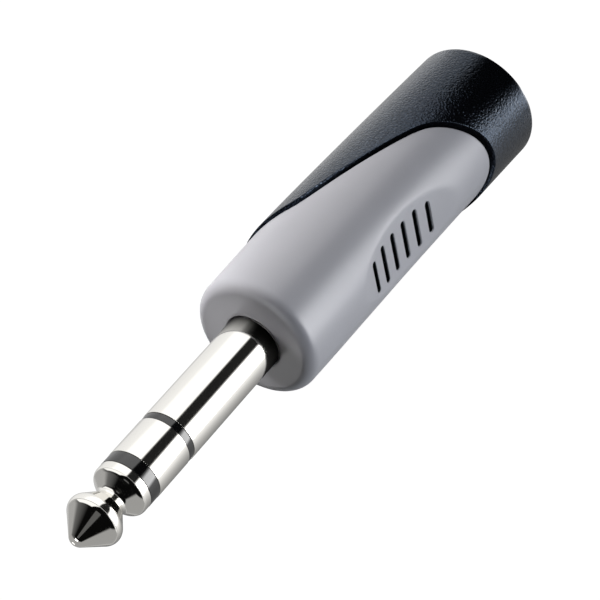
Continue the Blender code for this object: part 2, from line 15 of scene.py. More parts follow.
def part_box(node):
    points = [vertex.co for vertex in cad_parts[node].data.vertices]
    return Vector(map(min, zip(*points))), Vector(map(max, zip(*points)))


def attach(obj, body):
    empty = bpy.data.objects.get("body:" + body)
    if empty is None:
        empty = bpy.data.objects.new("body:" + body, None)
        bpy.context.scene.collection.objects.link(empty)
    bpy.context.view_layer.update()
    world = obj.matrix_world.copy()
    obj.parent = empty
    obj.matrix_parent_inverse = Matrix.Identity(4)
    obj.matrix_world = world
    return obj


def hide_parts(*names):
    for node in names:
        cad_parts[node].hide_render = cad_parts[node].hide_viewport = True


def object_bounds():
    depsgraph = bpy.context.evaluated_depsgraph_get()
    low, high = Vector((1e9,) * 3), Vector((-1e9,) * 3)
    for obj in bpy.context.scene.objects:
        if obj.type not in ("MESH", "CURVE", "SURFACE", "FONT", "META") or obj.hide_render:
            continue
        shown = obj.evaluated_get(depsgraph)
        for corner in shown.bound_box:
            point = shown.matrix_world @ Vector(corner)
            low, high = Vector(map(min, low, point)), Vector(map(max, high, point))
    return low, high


bl_info = {
    "name": "Plug and socket adapter",
    "version": (1, 0, 0),
    "blender": (4, 5, 0),
    "location": "View3D > Sidebar > Adapter",
    "description": "Builds the shells, the plug, the socket and the studio of a headphone plug adapter",
    "category": "Add Mesh",
}

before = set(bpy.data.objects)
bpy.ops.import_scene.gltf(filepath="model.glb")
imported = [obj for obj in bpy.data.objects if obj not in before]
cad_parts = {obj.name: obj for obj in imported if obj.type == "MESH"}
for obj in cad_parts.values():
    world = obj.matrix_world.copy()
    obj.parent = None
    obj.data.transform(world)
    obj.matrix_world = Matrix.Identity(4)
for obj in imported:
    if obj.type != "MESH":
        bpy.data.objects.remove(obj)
CAD_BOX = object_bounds()
SHELL_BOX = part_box("front_shell")
SLEEVE_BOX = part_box("sleeve_contact")
# How deep the bars for the slots, the black liners that paint the slots' shade and the liners' pits go, in
# depths of the scoop.
SLOT_FOOT = 2.0
SHADE_LINER_FOOT = 1.6
SHADE_LINER_PIT_FOOT = 0.9
MOUTH_START = -112.0      # where the rounding of the socket's mouth begins, in degrees
SAME_POINT = 1e-7         # corners nearer than this are one corner
SAME_RING = 1e-6          # the same for the rings of a turned piece
SHARP_EDGE = math.radians(35.0)
TURN_STEPS = 192          # facets once round a turned piece
WHITE = (1.0, 1.0, 1.0, 1.0)


def from_hex(code):
    """Linear colour of an sRGB hex code."""
    channels = [int(code[start:start + 2], 16) / 255.0 for start in (0, 2, 4)]
    return tuple(c / 12.92 if c <= 0.04045 else ((c + 0.055) / 1.055) ** 2.4 for c in channels)


def length(name, description, default):
    """Property for a length in metres."""
    return FloatProperty(name=name, description=description, default=default, min=0.0,
                         unit="LENGTH", subtype="DISTANCE", precision=5)


def angle(name, description, degrees):
    """Property for an angle, given here in degrees."""
    return FloatProperty(name=name, description=description, default=math.radians(degrees),
                         unit="ROTATION", subtype="ANGLE")


def number(name, description, default):
    """Property for a plain number."""
    return FloatProperty(name=name, description=description, default=default, min=0.0, precision=3)


def colour(name, description, code):
    """Property for a colour, given here as an sRGB hex code."""
    return FloatVectorProperty(name=name, description=description, default=from_hex(code),
                               subtype="COLOR", size=3, min=0.0, max=1.0)


class BodySizes(PropertyGroup):
    """Barrel shape that the grey and the black shell share"""
    length: length("Length", "Rear face to front face", SHELL_BOX[1].z)
    front_radius: length("Front radius", "Grey surface at the front face", 0.00722)
    waist_radius: length("Waist radius", "Fullest grey section", 0.00738)
    waist_back: length("Waist distance", "Fullest section, behind the front face", 0.0140)
    rear_radius: length("Rear radius", "Where the grey taper would end", 0.00720)
    proud: length("Step", "Black barrel above the grey surface", 0.0003)
    rear_lean: length("Lean", "Centre of the rear section, off the plug's axis", 0.00116)
    lean_back: length("Lean start", "Where the lean begins, behind the front face", 0.0100)
    lean_power: number("Lean power", "How gently the lean begins", 1.5)
    front_edge: length("Front rounding", "Rounding of the front edge", 0.0013)
    rear_edge: length("Rear rounding", "Rounding of the rear edge", 0.0008)
    cap_wall: length("Front wall", "Wall that the plug passes", 0.0030)
    core_radius: length("Core radius", "Black core inside the grey shell", 0.005576)
    core_bore: length("Core bore", "Room for tags and wires", 0.0041)
    rear_wall: length("Rear wall", "Wall round the socket's mouth", 0.0016)
    seat: length("Seat", "Gap between pieces that rest on each other", 0.0003)
    fit: length("Fit", "Gap round pressed pieces", 0.0001)


class SeamSizes(PropertyGroup):
    """Groove between the grey tongue and the black barrel"""
    gap: length("Groove", "Width of the groove", 0.00042)
    finger_back: length("Finger tip", "Tip of the black finger, behind the front face", 0.00877)
    finger_slope: number("Finger slope", "Steepness of the line at the finger", 0.95)
    diagonal_back: length("Diagonal", "Where the long line crosses the plug's axis", 0.02024)
    diagonal_slope: number("Diagonal slope", "Steepness of the long line", 3.18)
    tongue_back: length("Tongue tip", "Tip of the grey tongue, behind the front face", 0.03589)
    tongue_slope: number("Tongue slope", "Steepness of the line at the tongue", 1.17)
    softness: length("Softness", "Rounding where the three lines meet", 0.0012)
    edge: length("Edge rounding", "Rounding of the grey edge of the groove", 0.00018)
    black_edge: length("Black edge rounding", "Rounding of the black edge of the groove", 0.00006)


class GripSizes(PropertyGroup):
    """Scooped finger rest and its cross slots"""
    back: length("Distance", "Middle of the scoop, behind the front face", 0.01905)
    depth: length("Depth", "Depth of the scoop", 0.00106)
    sweep: length("Sweep", "Radius of the scoop along the body", 0.0370)
    rim: length("Rim softness", "Softness of the scoop's rim", 0.00016)
    slots: IntProperty(name="Slots", description="Number of cross slots", default=6, min=1)
    pitch: length("Pitch", "Slot to slot", 0.00218)
    width: length("Slot width", "Width of a slot", 0.00075)
    long: length("Long slot", "Length of the inner slots", 0.0049)
    short: length("Short slot", "Length of the two end slots", 0.0041)
    mouth: length("Mouth rounding", "Rounding round a slot's mouth", 0.00006)
    # The black liners are painted shade: dark sheets in the slots, where the grooves would only be shaded.
    shade_liner_gap: length("Liner gap", "Gap between a slot's wall and the black liner in it", 0.00002)
    shade_liner_sunk: length("Liner depth", "Top of the liners, below the scoop", 0.00010)
    shade_liner_wall: length("Liner wall", "Thickness of a liner", 0.00009)


class PlugSizes(PropertyGroup):
    """Stereo plug: tip, ring and sleeve with the tubes behind them"""
    sleeve_radius: length("Sleeve radius", "Half of 6.35 mm", 0.003175)
    sleeve_reach: length("Sleeve reach", "Front face to the end of the sleeve",
                         SLEEVE_BOX[1].z - SHELL_BOX[1].z)
    hole_fit: length("Hole fit", "Gap between sleeve and front shell", 0.0001)
    ring_radius: length("Ring radius", "Radius of the ring", 0.00315)
    ring_length: length("Ring length", "Length of the ring", 0.00499)
    ring_gap: length("Ring insulator", "Sleeve to ring", 0.00090)
    tip_gap: length("Tip insulator", "Ring to tip", 0.00151)
    collar_radius: length("Collar radius", "Radius of the moulded insulators", 0.00312)
    head_length: length("Head length", "Back of the tip to its nose", 0.00848)
    rim_radius: length("Rim radius", "Rim behind the neck", 0.00310)
    ball_radius: length("Ball radius", "Largest radius in front of the neck", 0.00306)
    neck_radius: length("Neck radius", "Where the neck's two flanks would meet", 0.00141)
    neck_height: length("Neck place", "Back of the tip to the neck", 0.00241)
    rim_flank: angle("Rim flank", "Flank behind the neck, off the axis", 51.8)
    ball_flank: angle("Ball flank", "Flank in front of the neck, off the axis", 36.5)
    nose_flank: angle("Nose flank", "Half angle of the nose cone", 45.8)
    nose_round: length("Nose rounding", "Rounding of the nose", 0.00117)
    ball_round: length("Ball rounding", "Rounding of the ball", 0.00117)
    neck_round: length("Neck rounding", "Rounding of the neck", 0.0006)
    rim_round: length("Rim rounding", "Rounding of the rim", 0.0008)
    chamfer: length("Chamfer", "Broken edges of sleeve, ring and tip", 0.00004)
    collar_gap: length("Collar gap", "Gap beside a moulded insulator", 0.00002)
    rod_radius: length("Rod radius", "Centre rod", 0.00085)
    tip_tube: length("Tip tube wall", "Insulating tube on the rod", 0.00035)
    ring_tube: length("Ring tube wall", "Tube that carries the ring", 0.00040)
    ring_insulator: length("Ring insulator wall", "Insulating tube on the ring's tube", 0.00035)
    flange_radius: length("Flange radius", "Shoulder of the sleeve inside the body", 0.0045)
    flange: length("Flange", "Thickness of the shoulder", 0.0012)
    shank_radius: length("Shank radius", "Sleeve behind its shoulder", 0.00295)
    shank: length("Shank", "Length of the sleeve behind its shoulder", 0.0015)
    back_insulator: length("Back insulator", "Washer behind the shank", 0.0010)
    lug_washer: length("Lug washer", "Washer between two tags", 0.0008)
    tag: length("Tag", "Thickness of a solder tag", 0.0004)
    rivet_radius: length("Rivet radius", "Riveted end of the rod", 0.0015)
    rivet: length("Rivet", "Thickness of the riveted end", 0.0008)


class SocketSizes(PropertyGroup):
    """Front bush of the 3.5 mm socket"""
    bore: length("Bore radius", "Half of the bore that takes a 3.5 mm plug", 0.00180)
    bush_radius: length("Bush radius", "Bush in the rear wall", 0.0026)
    recess: length("Recess", "Bush behind the rear face", 0.0003)
    flange_radius: length("Flange radius", "Shoulder behind the rear wall", 0.0037)
    flange: length("Flange", "Thickness of the shoulder", 0.0006)
    liner_radius: length("Liner radius", "Bush inside the moulding", 0.0023)
    depth: length("Depth", "Rear face to the end of the bush", 0.0067)
    chamber_radius: length("Chamber radius", "Room for the socket in the black shell", 0.0042)
    chamber_top: length("Chamber top", "End of that room", 0.0185)


class Finishes(PropertyGroup):
    """Colours and grain of the surfaces"""
    grey: colour("Grey", "Grey moulded shell", "adadb4")
    black: colour("Black", "Black moulded shell", "07080b")
    nickel: colour("Nickel", "Bright nickel plate", "e9e7e2")
    insulator: colour("Insulator", "Black plug insulators", "08080a")
    socket: colour("Socket", "Moulding of the socket", "1b1b1c")
    tin: colour("Tin", "Tinned solder tags", "c9c6bd")
    fibre: colour("Fibre", "Vulcanised fibre washer", "7a2d1c")
    bronze: colour("Bronze", "Phosphor bronze contacts", "c58a5c")
    white_wire: colour("White wire", "Insulation of the tip wire", "dedcd6")
    red_wire: colour("Red wire", "Insulation of the ring wire", "a3201c")
    black_wire: colour("Black wire", "Insulation of the sleeve wire", "1a1a1a")
    grey_grain: length("Grey grain", "Size of the grey shell's fine grain", 0.00022)
    black_grain: length("Black grain", "Size of the spark-eroded grain", 0.00026)
    turning: length("Turning marks", "Spacing of the plug's turning marks", 0.00012)


class Studio(PropertyGroup):
    """Camera, lamps and soft light"""
    lens: number("Lens", "Focal length for a 36 mm frame", 138.0)
    view: angle("View side", "Camera's side, round from the finger rest", 50.0)
    left_power: number("Left softbox", "Power of the low softbox at the left, in watts", 0.85)
    right_power: number("Right softbox", "Power of the low softbox at the right, in watts", 0.34)
    kicker_power: number("Kicker", "Power of the small lamp by the front face, in watts", 0.00048)
    bounce: number("Bounce", "Light that the floor gives off", 0.5)
    ambient: number("Ambient", "Level of the surrounding light", 0.01)


# Nodes

def add_node(tree, kind, inputs=None, **settings):
    """Add a node. Inputs are named or numbered sockets, each with a value or another node's socket."""
    node = tree.nodes.new(kind)
    for name, value in settings.items():
        setattr(node, name, value)
    for socket, value in (inputs or {}).items():
        if isinstance(value, bpy.types.NodeSocket):
            tree.links.new(value, node.inputs[socket])
        else:
            node.inputs[socket].default_value = value
    return node


def math_node(tree, operation, first, second=0.0):
    """Result of one sum in a node tree."""
    return add_node(tree, "ShaderNodeMath", {0: first, 1: second}, operation=operation).outputs[0]


def new_geometry_tree(name, sockets):
    """Geometry tree with a mesh going in and out, and the named inputs given as (name, kind, value)."""
    tree = bpy.data.node_groups.new(name, "GeometryNodeTree")
    tree.interface.new_socket("Geometry", in_out="OUTPUT", socket_type="NodeSocketGeometry")
    tree.interface.new_socket("Geometry", in_out="INPUT", socket_type="NodeSocketGeometry")
    for title, kind, value in sockets:
        socket = tree.interface.new_socket(title, in_out="INPUT", socket_type=kind)
        if value is not None:
            socket.default_value = value
    return tree, add_node(tree, "NodeGroupInput").outputs


def close_tree(tree, geometry, material):
    """Realise what is instanced, give it its material and send it out."""
    real = add_node(tree, "GeometryNodeRealizeInstances", {"Geometry": geometry})
    painted = add_node(tree, "GeometryNodeSetMaterial", {"Geometry": real.outputs[0], "Material": material})
    add_node(tree, "NodeGroupOutput", {"Geometry": painted.outputs[0]})
    return tree


def turning_tree():
    """Tree that turns a profile, drawn as radius along X and height along Z, round the Z axis."""
    tree, given = new_geometry_tree("Turned piece", (
        ("Segments", "NodeSocketInt", TURN_STEPS), ("Path Radius", "NodeSocketFloat", 0.01),
        ("Material", "NodeSocketMaterial", None)))
    line = add_node(tree, "GeometryNodeMeshToCurve", {"Mesh": given["Geometry"]})
    shift = add_node(tree, "ShaderNodeCombineXYZ", {
        "X": math_node(tree, "SUBTRACT", 0.0, given["Path Radius"])})
    profile = add_node(tree, "GeometryNodeTransform", {
        "Geometry": line.outputs[0], "Translation": shift.outputs[0],
        "Rotation": (math.pi / 2.0, 0.0, 0.0)})
    path = add_node(tree, "GeometryNodeCurvePrimitiveCircle", {
        "Resolution": given["Segments"], "Radius": given["Path Radius"]})
    skin = add_node(tree, "GeometryNodeCurveToMesh", {
        "Curve": path.outputs["Curve"], "Profile Curve": profile.outputs[0]})
    closed = add_node(tree, "GeometryNodeMergeByDistance", {
        "Geometry": skin.outputs[0], "Distance": SAME_RING})
    return close_tree(tree, closed.outputs[0], given["Material"])


def slot_tree(name, operation):
    """Row of bars that follows the scoop, short at both ends, cut out of a shell or joined to it."""
    tree, given = new_geometry_tree(name, (
        ("Count", "NodeSocketInt", 6), ("Pitch", "NodeSocketFloat", 0.002),
        ("Middle", "NodeSocketFloat", 0.0), ("Floor", "NodeSocketFloat", 0.0),
        ("Sweep", "NodeSocketFloat", 0.04),
        ("Long Bar", "NodeSocketObject", None), ("Short Bar", "NodeSocketObject", None),
        ("Material", "NodeSocketMaterial", None)))
    index = add_node(tree, "GeometryNodeInputIndex").outputs[0]
    last = math_node(tree, "SUBTRACT", given["Count"], 1.0)
    along = math_node(tree, "MULTIPLY", given["Pitch"],
                      math_node(tree, "SUBTRACT", index, math_node(tree, "DIVIDE", last, 2.0)))
    squares = math_node(tree, "SUBTRACT", math_node(tree, "POWER", given["Sweep"], 2.0),
                        math_node(tree, "POWER", along, 2.0))
    rise = math_node(tree, "SUBTRACT", given["Sweep"], math_node(tree, "SQRT", squares))
    place = add_node(tree, "ShaderNodeCombineXYZ", {
        "X": math_node(tree, "ADD", given["Floor"], rise),
        "Z": math_node(tree, "ADD", given["Middle"], along)})
    row = add_node(tree, "GeometryNodeMeshLine", {"Count": given["Count"]})
    points = add_node(tree, "GeometryNodeSetPosition", {
        "Geometry": row.outputs[0], "Position": place.outputs[0]})
    bars = []
    for title in ("Short Bar", "Long Bar"):
        info = add_node(tree, "GeometryNodeObjectInfo", {"Object": given[title]})
        bars.append(add_node(tree, "GeometryNodeGeometryToInstance", {0: info.outputs["Geometry"]}))
    both = add_node(tree, "GeometryNodeJoinGeometry")
    for bar in reversed(bars):
        tree.links.new(bar.outputs[0], both.inputs[0])
    after_first = math_node(tree, "GREATER_THAN", index, 0.5)
    before_last = math_node(tree, "LESS_THAN", index, math_node(tree, "SUBTRACT", last, 0.5))
    inner = math_node(tree, "MULTIPLY", after_first, before_last)
    placed = add_node(tree, "GeometryNodeInstanceOnPoints", {
        "Points": points.outputs[0], "Instance": both.outputs[0], "Pick Instance": True,
        "Instance Index": inner})
    row_of_bars = add_node(tree, "GeometryNodeRealizeInstances", {"Geometry": placed.outputs[0]})
    changed = add_node(tree, "GeometryNodeMeshBoolean", {"Mesh 2": row_of_bars.outputs[0]},
                       operation=operation, solver="EXACT")
    shell_input = "Mesh 1" if operation == "DIFFERENCE" else "Mesh 2"
    tree.links.new(given["Geometry"], changed.inputs[shell_input])
    return close_tree(tree, changed.outputs[0], given["Material"])


def run_tree(obj, tree, values):
    """Swap the object's mesh for what the tree makes of it, as a plain mesh."""
    modifier = obj.modifiers.new(tree.name, "NODES")
    modifier.node_group = tree
    for item in tree.interface.items_tree:
        if item.in_out == "INPUT" and item.name in values:
            modifier[item.identifier] = values[item.name]
    graph = bpy.context.evaluated_depsgraph_get()
    mesh = bpy.data.meshes.new_from_object(obj.evaluated_get(graph))
    obj.modifiers.remove(modifier)
    drawn, obj.data = obj.data, mesh
    mesh.name = obj.name
    bpy.data.meshes.remove(drawn)
    return obj


# Mesh helpers

def link_object(name, data):
    """New object in the scene for a mesh, a lamp or a camera."""
    obj = bpy.data.objects.new(name, data)
    bpy.context.scene.collection.objects.link(obj)
    return obj


def place_mesh(name, shape):
    """Put a bmesh in the scene, with its doubles merged and its faces pointing out."""
    bmesh.ops.remove_doubles(shape, verts=shape.verts, dist=SAME_POINT)
    bmesh.ops.recalc_face_normals(shape, faces=shape.faces)
    mesh = bpy.data.meshes.new(name)
    shape.to_mesh(mesh)
    shape.free()
    return link_object(name, mesh)


def finish_piece(obj, material, slot, *nodes):
    """Shade a finished piece, give it its material, hang it on the root body and hide the CAD nodes that it
    stands for.
    """
    shape = bmesh.new()
    shape.from_mesh(obj.data)
    bmesh.ops.remove_doubles(shape, verts=shape.verts, dist=SAME_POINT)
    bmesh.ops.dissolve_degenerate(shape, edges=shape.edges, dist=SAME_POINT / 10.0)
    bmesh.ops.recalc_face_normals(shape, faces=shape.faces)
    shape.to_mesh(obj.data)
    shape.free()
    obj.data.shade_smooth()
    obj.data.set_sharp_from_angle(angle=SHARP_EDGE)
    obj.data.materials.clear()
    obj.data.materials.append(material)
    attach(obj, "root")
    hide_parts(*nodes)
    return obj


def skin_loops(name, loops):
    """Closed solid through loops of points that go once round the axis."""
    shape = bmesh.new()
    rings = [[shape.verts.new(point) for point in loop] for loop in loops]
    for ring, after in zip(rings, rings[1:] + rings[:1]):
        for index, corner in enumerate(ring):
            beyond = (index + 1) % len(ring)
            shape.faces.new((corner, after[index], after[beyond], ring[beyond]))
    return place_mesh(name, shape)


def draw_profile(name, points, closed):
    """Profile of a turned piece as a chain of edges."""
    mesh = bpy.data.meshes.new(name)
    edges = [(index, index + 1) for index in range(len(points) - 1)]
    if closed:
        edges.append((len(points) - 1, 0))
    mesh.from_pydata([(radius, 0.0, height) for radius, height in points], edges, [])
    return link_object(name, mesh)


def turn_piece(name, points, closed, material, slot, foot=(0.0, 0.0, 0.0)):
    """Turned piece on a foot point; it stands for the CAD node of the same name."""
    tree = bpy.data.node_groups.get("Turned piece") or turning_tree()
    obj = run_tree(draw_profile(name, points, closed), tree, {
        "Segments": TURN_STEPS, "Material": material})
    obj.data.transform(Matrix.Translation(foot))
    return finish_piece(obj, material, slot, name)


def arc(centre, radius, start, end, steps):
    """Points of an arc between two angles in degrees."""
    points = []
    for step in range(steps + 1):
        turn = math.radians(start + (end - start) * step / steps)
        points.append((centre[0] + radius * math.cos(turn), centre[1] + radius * math.sin(turn)))
    return points


def quarter_turn(steps):
    """Angles from 0 to 90 degrees, in radians."""
    return [math.radians(90.0 * step / steps) for step in range(steps + 1)]


def rounded_corner(before, corner, after, radius, steps):
    """Arc of the given radius that rounds one corner of an outline."""
    corner = Vector(corner)
    back = (Vector(before) - corner).normalized()
    ahead = (Vector(after) - corner).normalized()
    half_angle = back.angle(ahead) / 2.0
    centre = corner + (back + ahead).normalized() * (radius / math.sin(half_angle))
    start = corner + back * (radius / math.tan(half_angle)) - centre
    sweep = start.angle_signed(corner + ahead * (radius / math.tan(half_angle)) - centre)
    points = []
    for step in range(steps + 1):
        turn = -sweep * step / steps
        cosine, sine = math.cos(turn), math.sin(turn)
        points.append(tuple(centre + Vector((start.x * cosine - start.y * sine,
                                             start.x * sine + start.y * cosine))))
    return points


# Shape of the body

def lean(body, back):
    """Offset of the section's centre towards the finger rest."""
    run = max(0.0, back - body.lean_back) / (body.length - body.lean_back)
    return body.rear_lean * run ** body.lean_power


def grey_radius(body, back):
    """Radius of the grey surface at a distance behind the front face."""
    if back < body.waist_back:
        swell = body.waist_radius - body.front_radius
        return body.waist_radius - swell * (1.0 - back / body.waist_back) ** 2
    taper = (back - body.waist_back) / (body.length - body.waist_back)
    return body.waist_radius - (body.waist_radius - body.rear_radius) * taper


def polar(centre, radius, turn):
    """Distance from the plug's axis to a circle whose centre stands off it along X."""
    return centre * math.cos(turn) + math.sqrt(radius ** 2 - (centre * math.sin(turn)) ** 2)


def outside(body, turn, height, inset):
    """Distance from the plug's axis to the grey surface, less an inset."""
    back = body.length - height
    return polar(lean(body, back), grey_radius(body, back) - inset, turn)


def seam_height(body, seam, turn, gap):
    """Height of the seam at an angle from +X, moved back by a gap measured across it."""
    across = body.waist_radius * math.cos(turn)
    finger = seam.finger_back + seam.finger_slope * (across + body.waist_radius)
    finger += gap * math.hypot(1.0, seam.finger_slope)
    diagonal = seam.diagonal_back + seam.diagonal_slope * across
    diagonal += gap * math.hypot(1.0, seam.diagonal_slope)
    tongue = seam.tongue_back - seam.tongue_slope * (body.waist_radius - across)
    tongue += gap * math.hypot(1.0, seam.tongue_slope)
    lower = (diagonal + tongue - math.hypot(diagonal - tongue, seam.softness)) / 2.0
    back = (finger + lower + math.hypot(finger - lower, seam.softness)) / 2.0
    return body.length - back


def scoop_floor(body, grip):
    """Deepest line of the finger rest, as a distance from the plug's axis."""
    return grey_radius(body, grip.back) + lean(body, grip.back) - grip.depth


def scooped(body, grip, point):
    """Press a point of the surface in where it stands above the scoop, with a soft rim."""
    along = point[2] - (body.length - grip.back)
    floor = scoop_floor(body, grip) + grip.sweep - math.sqrt(grip.sweep ** 2 - along ** 2)
    x = (point[0] + floor - math.hypot(point[0] - floor, grip.rim)) / 2.0
    return (x, point[1], point[2])


def ring_of_angles(fine_steps, coarse_steps, fine_half=math.radians(48.0)):
    """Angles once round, closer together over the finger rest."""
    fine = [fine_half * (2.0 * step / fine_steps - 1.0) for step in range(fine_steps)]
    rest = 2.0 * (math.pi - fine_half)
    return fine + [fine_half + rest * step / coarse_steps for step in range(coarse_steps)]


def front_loop(body, seam, grip, hole, turn, rows=210):
    """Section of the grey shell at one angle, from its hole, over its outside, to its bore."""
    top = body.length
    mouth = seam.edge
    cosine, sine = math.cos(turn), math.sin(turn)
    section = []
    for radius, height in arc((hole + mouth, top - mouth), mouth, 180.0, 90.0, 4):
        section.append((radius, height))
    face_edge = outside(body, turn, top, body.front_edge)
    flat = face_edge - hole - mouth
    section += [(hole + mouth + flat * share, top) for share in (0.25, 0.5, 0.75, 0.9)]
    for lift in quarter_turn(10):
        height = top - body.front_edge * (1.0 - math.cos(lift))
        section.append((outside(body, turn, height, body.front_edge * (1.0 - math.sin(lift))), height))
    start, end = section[-1][1], seam_height(body, seam, turn, -seam.edge)
    for row in range(1, rows):
        height = start + (end - start) * row / rows
        section.append((outside(body, turn, height, 0.0), height))
    for roll in quarter_turn(6):
        height = seam_height(body, seam, turn, -seam.edge * (1.0 - math.sin(roll)))
        section.append((outside(body, turn, height, seam.edge * (1.0 - math.cos(roll))), height))
    bore = body.core_radius + body.seat
    low = seam_height(body, seam, turn, 0.0)
    section += [(bore, low), (bore, (low + top - body.cap_wall) / 2.0), (bore, top - body.cap_wall),
                (hole, top - body.cap_wall)]
    return [scooped(body, grip, (radius * cosine, radius * sine, height)) for radius, height in section]


def round_ended_bar(name, bar_length, width, levels):
    """Bar along X with round ends; levels are (x, flare), the flare being added all round."""
    shape = bmesh.new()
    half = (bar_length - width) / 2.0
    rings = []
    for x, flare in levels:
        ring = []
        for side, start in ((half, -90.0), (-half, 90.0)):
            for y, z in arc((side, 0.0), width / 2.0 + flare, start, start + 180.0, 10):
                ring.append(shape.verts.new((x, y, z)))
        rings.append(ring)
    for ring, after in zip(rings, rings[1:]):
        for index in range(len(ring)):
            beyond = (index + 1) % len(ring)
            shape.faces.new((ring[index], ring[beyond], after[beyond], after[index]))
    shape.faces.new(rings[0][::-1])
    shape.faces.new(rings[-1])
    return place_mesh(name, shape)


def slot_levels(grip):
    """Levels of a slot's cutter, whose mouth flares at the scoop."""
    levels = [(-grip.depth * SLOT_FOOT, 0.0)]
    for roll in quarter_turn(5):
        levels.append((-grip.mouth * math.cos(roll), grip.mouth * (1.0 - math.cos(roll))))
    return levels + [(grip.depth, grip.mouth)]


def row_of_bars(shell, body, grip, material, operation, levels):
    """Cut a bar for each slot out of a shell, or join it to the shell."""
    bars = [round_ended_bar(name, bar_length, grip.width, levels)
            for name, bar_length in (("long_bar", grip.long), ("short_bar", grip.short))]
    name = f"Grip slots, {operation.lower()}"
    run_tree(shell, bpy.data.node_groups.get(name) or slot_tree(name, operation), {
        "Count": grip.slots, "Pitch": grip.pitch, "Middle": body.length - grip.back,
        "Floor": scoop_floor(body, grip), "Sweep": grip.sweep, "Long Bar": bars[0],
        "Short Bar": bars[1], "Material": material})
    for bar in bars:
        bpy.data.objects.remove(bar)


def rear_loop(body, seam, socket, turn, rows=110):
    """Section of the black shell at one angle, from its core, down its barrel, to its socket room."""
    core_top = body.length - body.cap_wall - body.seat
    section = [(body.core_radius, core_top)]
    riser = seam_height(body, seam, turn, seam.gap)
    for share in (0.33, 0.66, 1.0):
        section.append((body.core_radius, core_top + (riser - core_top) * share))
    for roll in reversed(quarter_turn(6)):
        height = seam_height(body, seam, turn, seam.gap + seam.black_edge * (1.0 - math.sin(roll)))
        inset = seam.black_edge * (1.0 - math.cos(roll)) - body.proud
        section.append((outside(body, turn, height, inset), height))
    start, end = section[-1][1], body.rear_edge
    for row in range(1, rows + 1):
        height = start + (end - start) * row / rows
        section.append((outside(body, turn, height, -body.proud), height))
    for roll in quarter_turn(10)[1:]:
        height = body.rear_edge * (1.0 - math.sin(roll))
        inset = body.rear_edge * (1.0 - math.cos(roll)) - body.proud
        section.append((outside(body, turn, height, inset), height))
    mouth = polar(body.rear_lean, socket.bush_radius + body.fit, turn)
    rim = section[-1][0]
    soft = seam.edge / 2.0
    section += [(mouth + soft + (rim - mouth - soft) * share, 0.0) for share in (0.8, 0.5, 0.2)]
    section += arc((mouth + soft, soft), soft, -90.0, -180.0, 4)
    chamber = polar(body.rear_lean, socket.chamber_radius, turn)
    section += [(mouth, body.rear_wall), (chamber, body.rear_wall), (chamber, socket.chamber_top),
                (body.core_bore, socket.chamber_top)]
    return section


class ADAPTER_OT_front_shell(Operator):
    """Build the grey front shell with its tongue, finger rest and slots"""
    bl_idname = "adapter.front_shell"
    bl_label = "Front shell"

    def execute(self, context):
        scene = context.scene
        body, seam, grip = scene.adapter_body, scene.adapter_seam, scene.adapter_grip
        hole = scene.adapter_plug.sleeve_radius + scene.adapter_plug.hole_fit
        loops = [front_loop(body, seam, grip, hole, turn)
                 for turn in ring_of_angles(fine_steps=104, coarse_steps=150)]
        shell = skin_loops("front_shell_skin", loops)
        material = satin_grey(scene.adapter_finish)
        row_of_bars(shell, body, grip, material, "DIFFERENCE", slot_levels(grip))
        finish_piece(shell, material, "grey_plastic", "front_shell")
        return {"FINISHED"}


class ADAPTER_OT_rear_shell(Operator):
    """Build the black rear shell with the core that carries the tongue, and the black liners that paint the
    shade in the slots
    """
    bl_idname = "adapter.rear_shell"
    bl_label = "Rear shell"

    def execute(self, context):
        scene = context.scene
        body, plug, grip = scene.adapter_body, scene.adapter_plug, scene.adapter_grip
        core_top = body.length - body.cap_wall - body.seat
        ledge = core_top - plug.flange - body.seat
        pocket = plug.flange_radius + body.seat
        loops = []
        for turn in ring_of_angles(fine_steps=100, coarse_steps=160):
            section = rear_loop(body, scene.adapter_seam, scene.adapter_socket, turn)
            section += [(body.core_bore, ledge), (pocket, ledge), (pocket, core_top)]
            cosine, sine = math.cos(turn), math.sin(turn)
            loops.append([(radius * cosine, radius * sine, height) for radius, height in section])
        shell = skin_loops("rear_shell_skin", loops)
        material = textured_black(scene.adapter_finish)
        # Black liners, grown from the core into the slots and hollowed, paint the slots' shade.
        pit = grip.shade_liner_gap + grip.shade_liner_wall
        shade_liners = [(-grip.depth * SHADE_LINER_FOOT, -grip.shade_liner_gap), (-grip.shade_liner_sunk, -grip.shade_liner_gap)]
        pits = [(-grip.depth * SHADE_LINER_PIT_FOOT, -pit), (grip.depth, -pit)]
        row_of_bars(shell, body, grip, material, "UNION", shade_liners)
        row_of_bars(shell, body, grip, material, "DIFFERENCE", pits)
        finish_piece(shell, material, "black_plastic", "rear_shell")
        return {"FINISHED"}


# Plug and socket

def stack_levels(body, plug):
    """Heights of the plug's pieces in front of the body and inside it."""
    level = {"sleeve_top": body.length + plug.sleeve_reach}
    level["ring_bottom"] = level["sleeve_top"] + plug.ring_gap
    level["ring_top"] = level["ring_bottom"] + plug.ring_length
    level["head_bottom"] = level["ring_top"] + plug.tip_gap
    level["flange_top"] = body.length - body.cap_wall - body.seat
    level["flange_bottom"] = level["flange_top"] - plug.flange
    level["shank_bottom"] = level["flange_bottom"] - plug.shank
    level["ring_lug"] = level["shank_bottom"] - 2.0 * body.seat - plug.back_insulator
    level["ring_tube_bottom"] = level["ring_lug"] - plug.tag - body.seat
    level["washer_bottom"] = level["ring_tube_bottom"] - body.seat - plug.lug_washer
    level["rivet_top"] = level["washer_bottom"] - 2.0 * body.seat - plug.tag
    return level


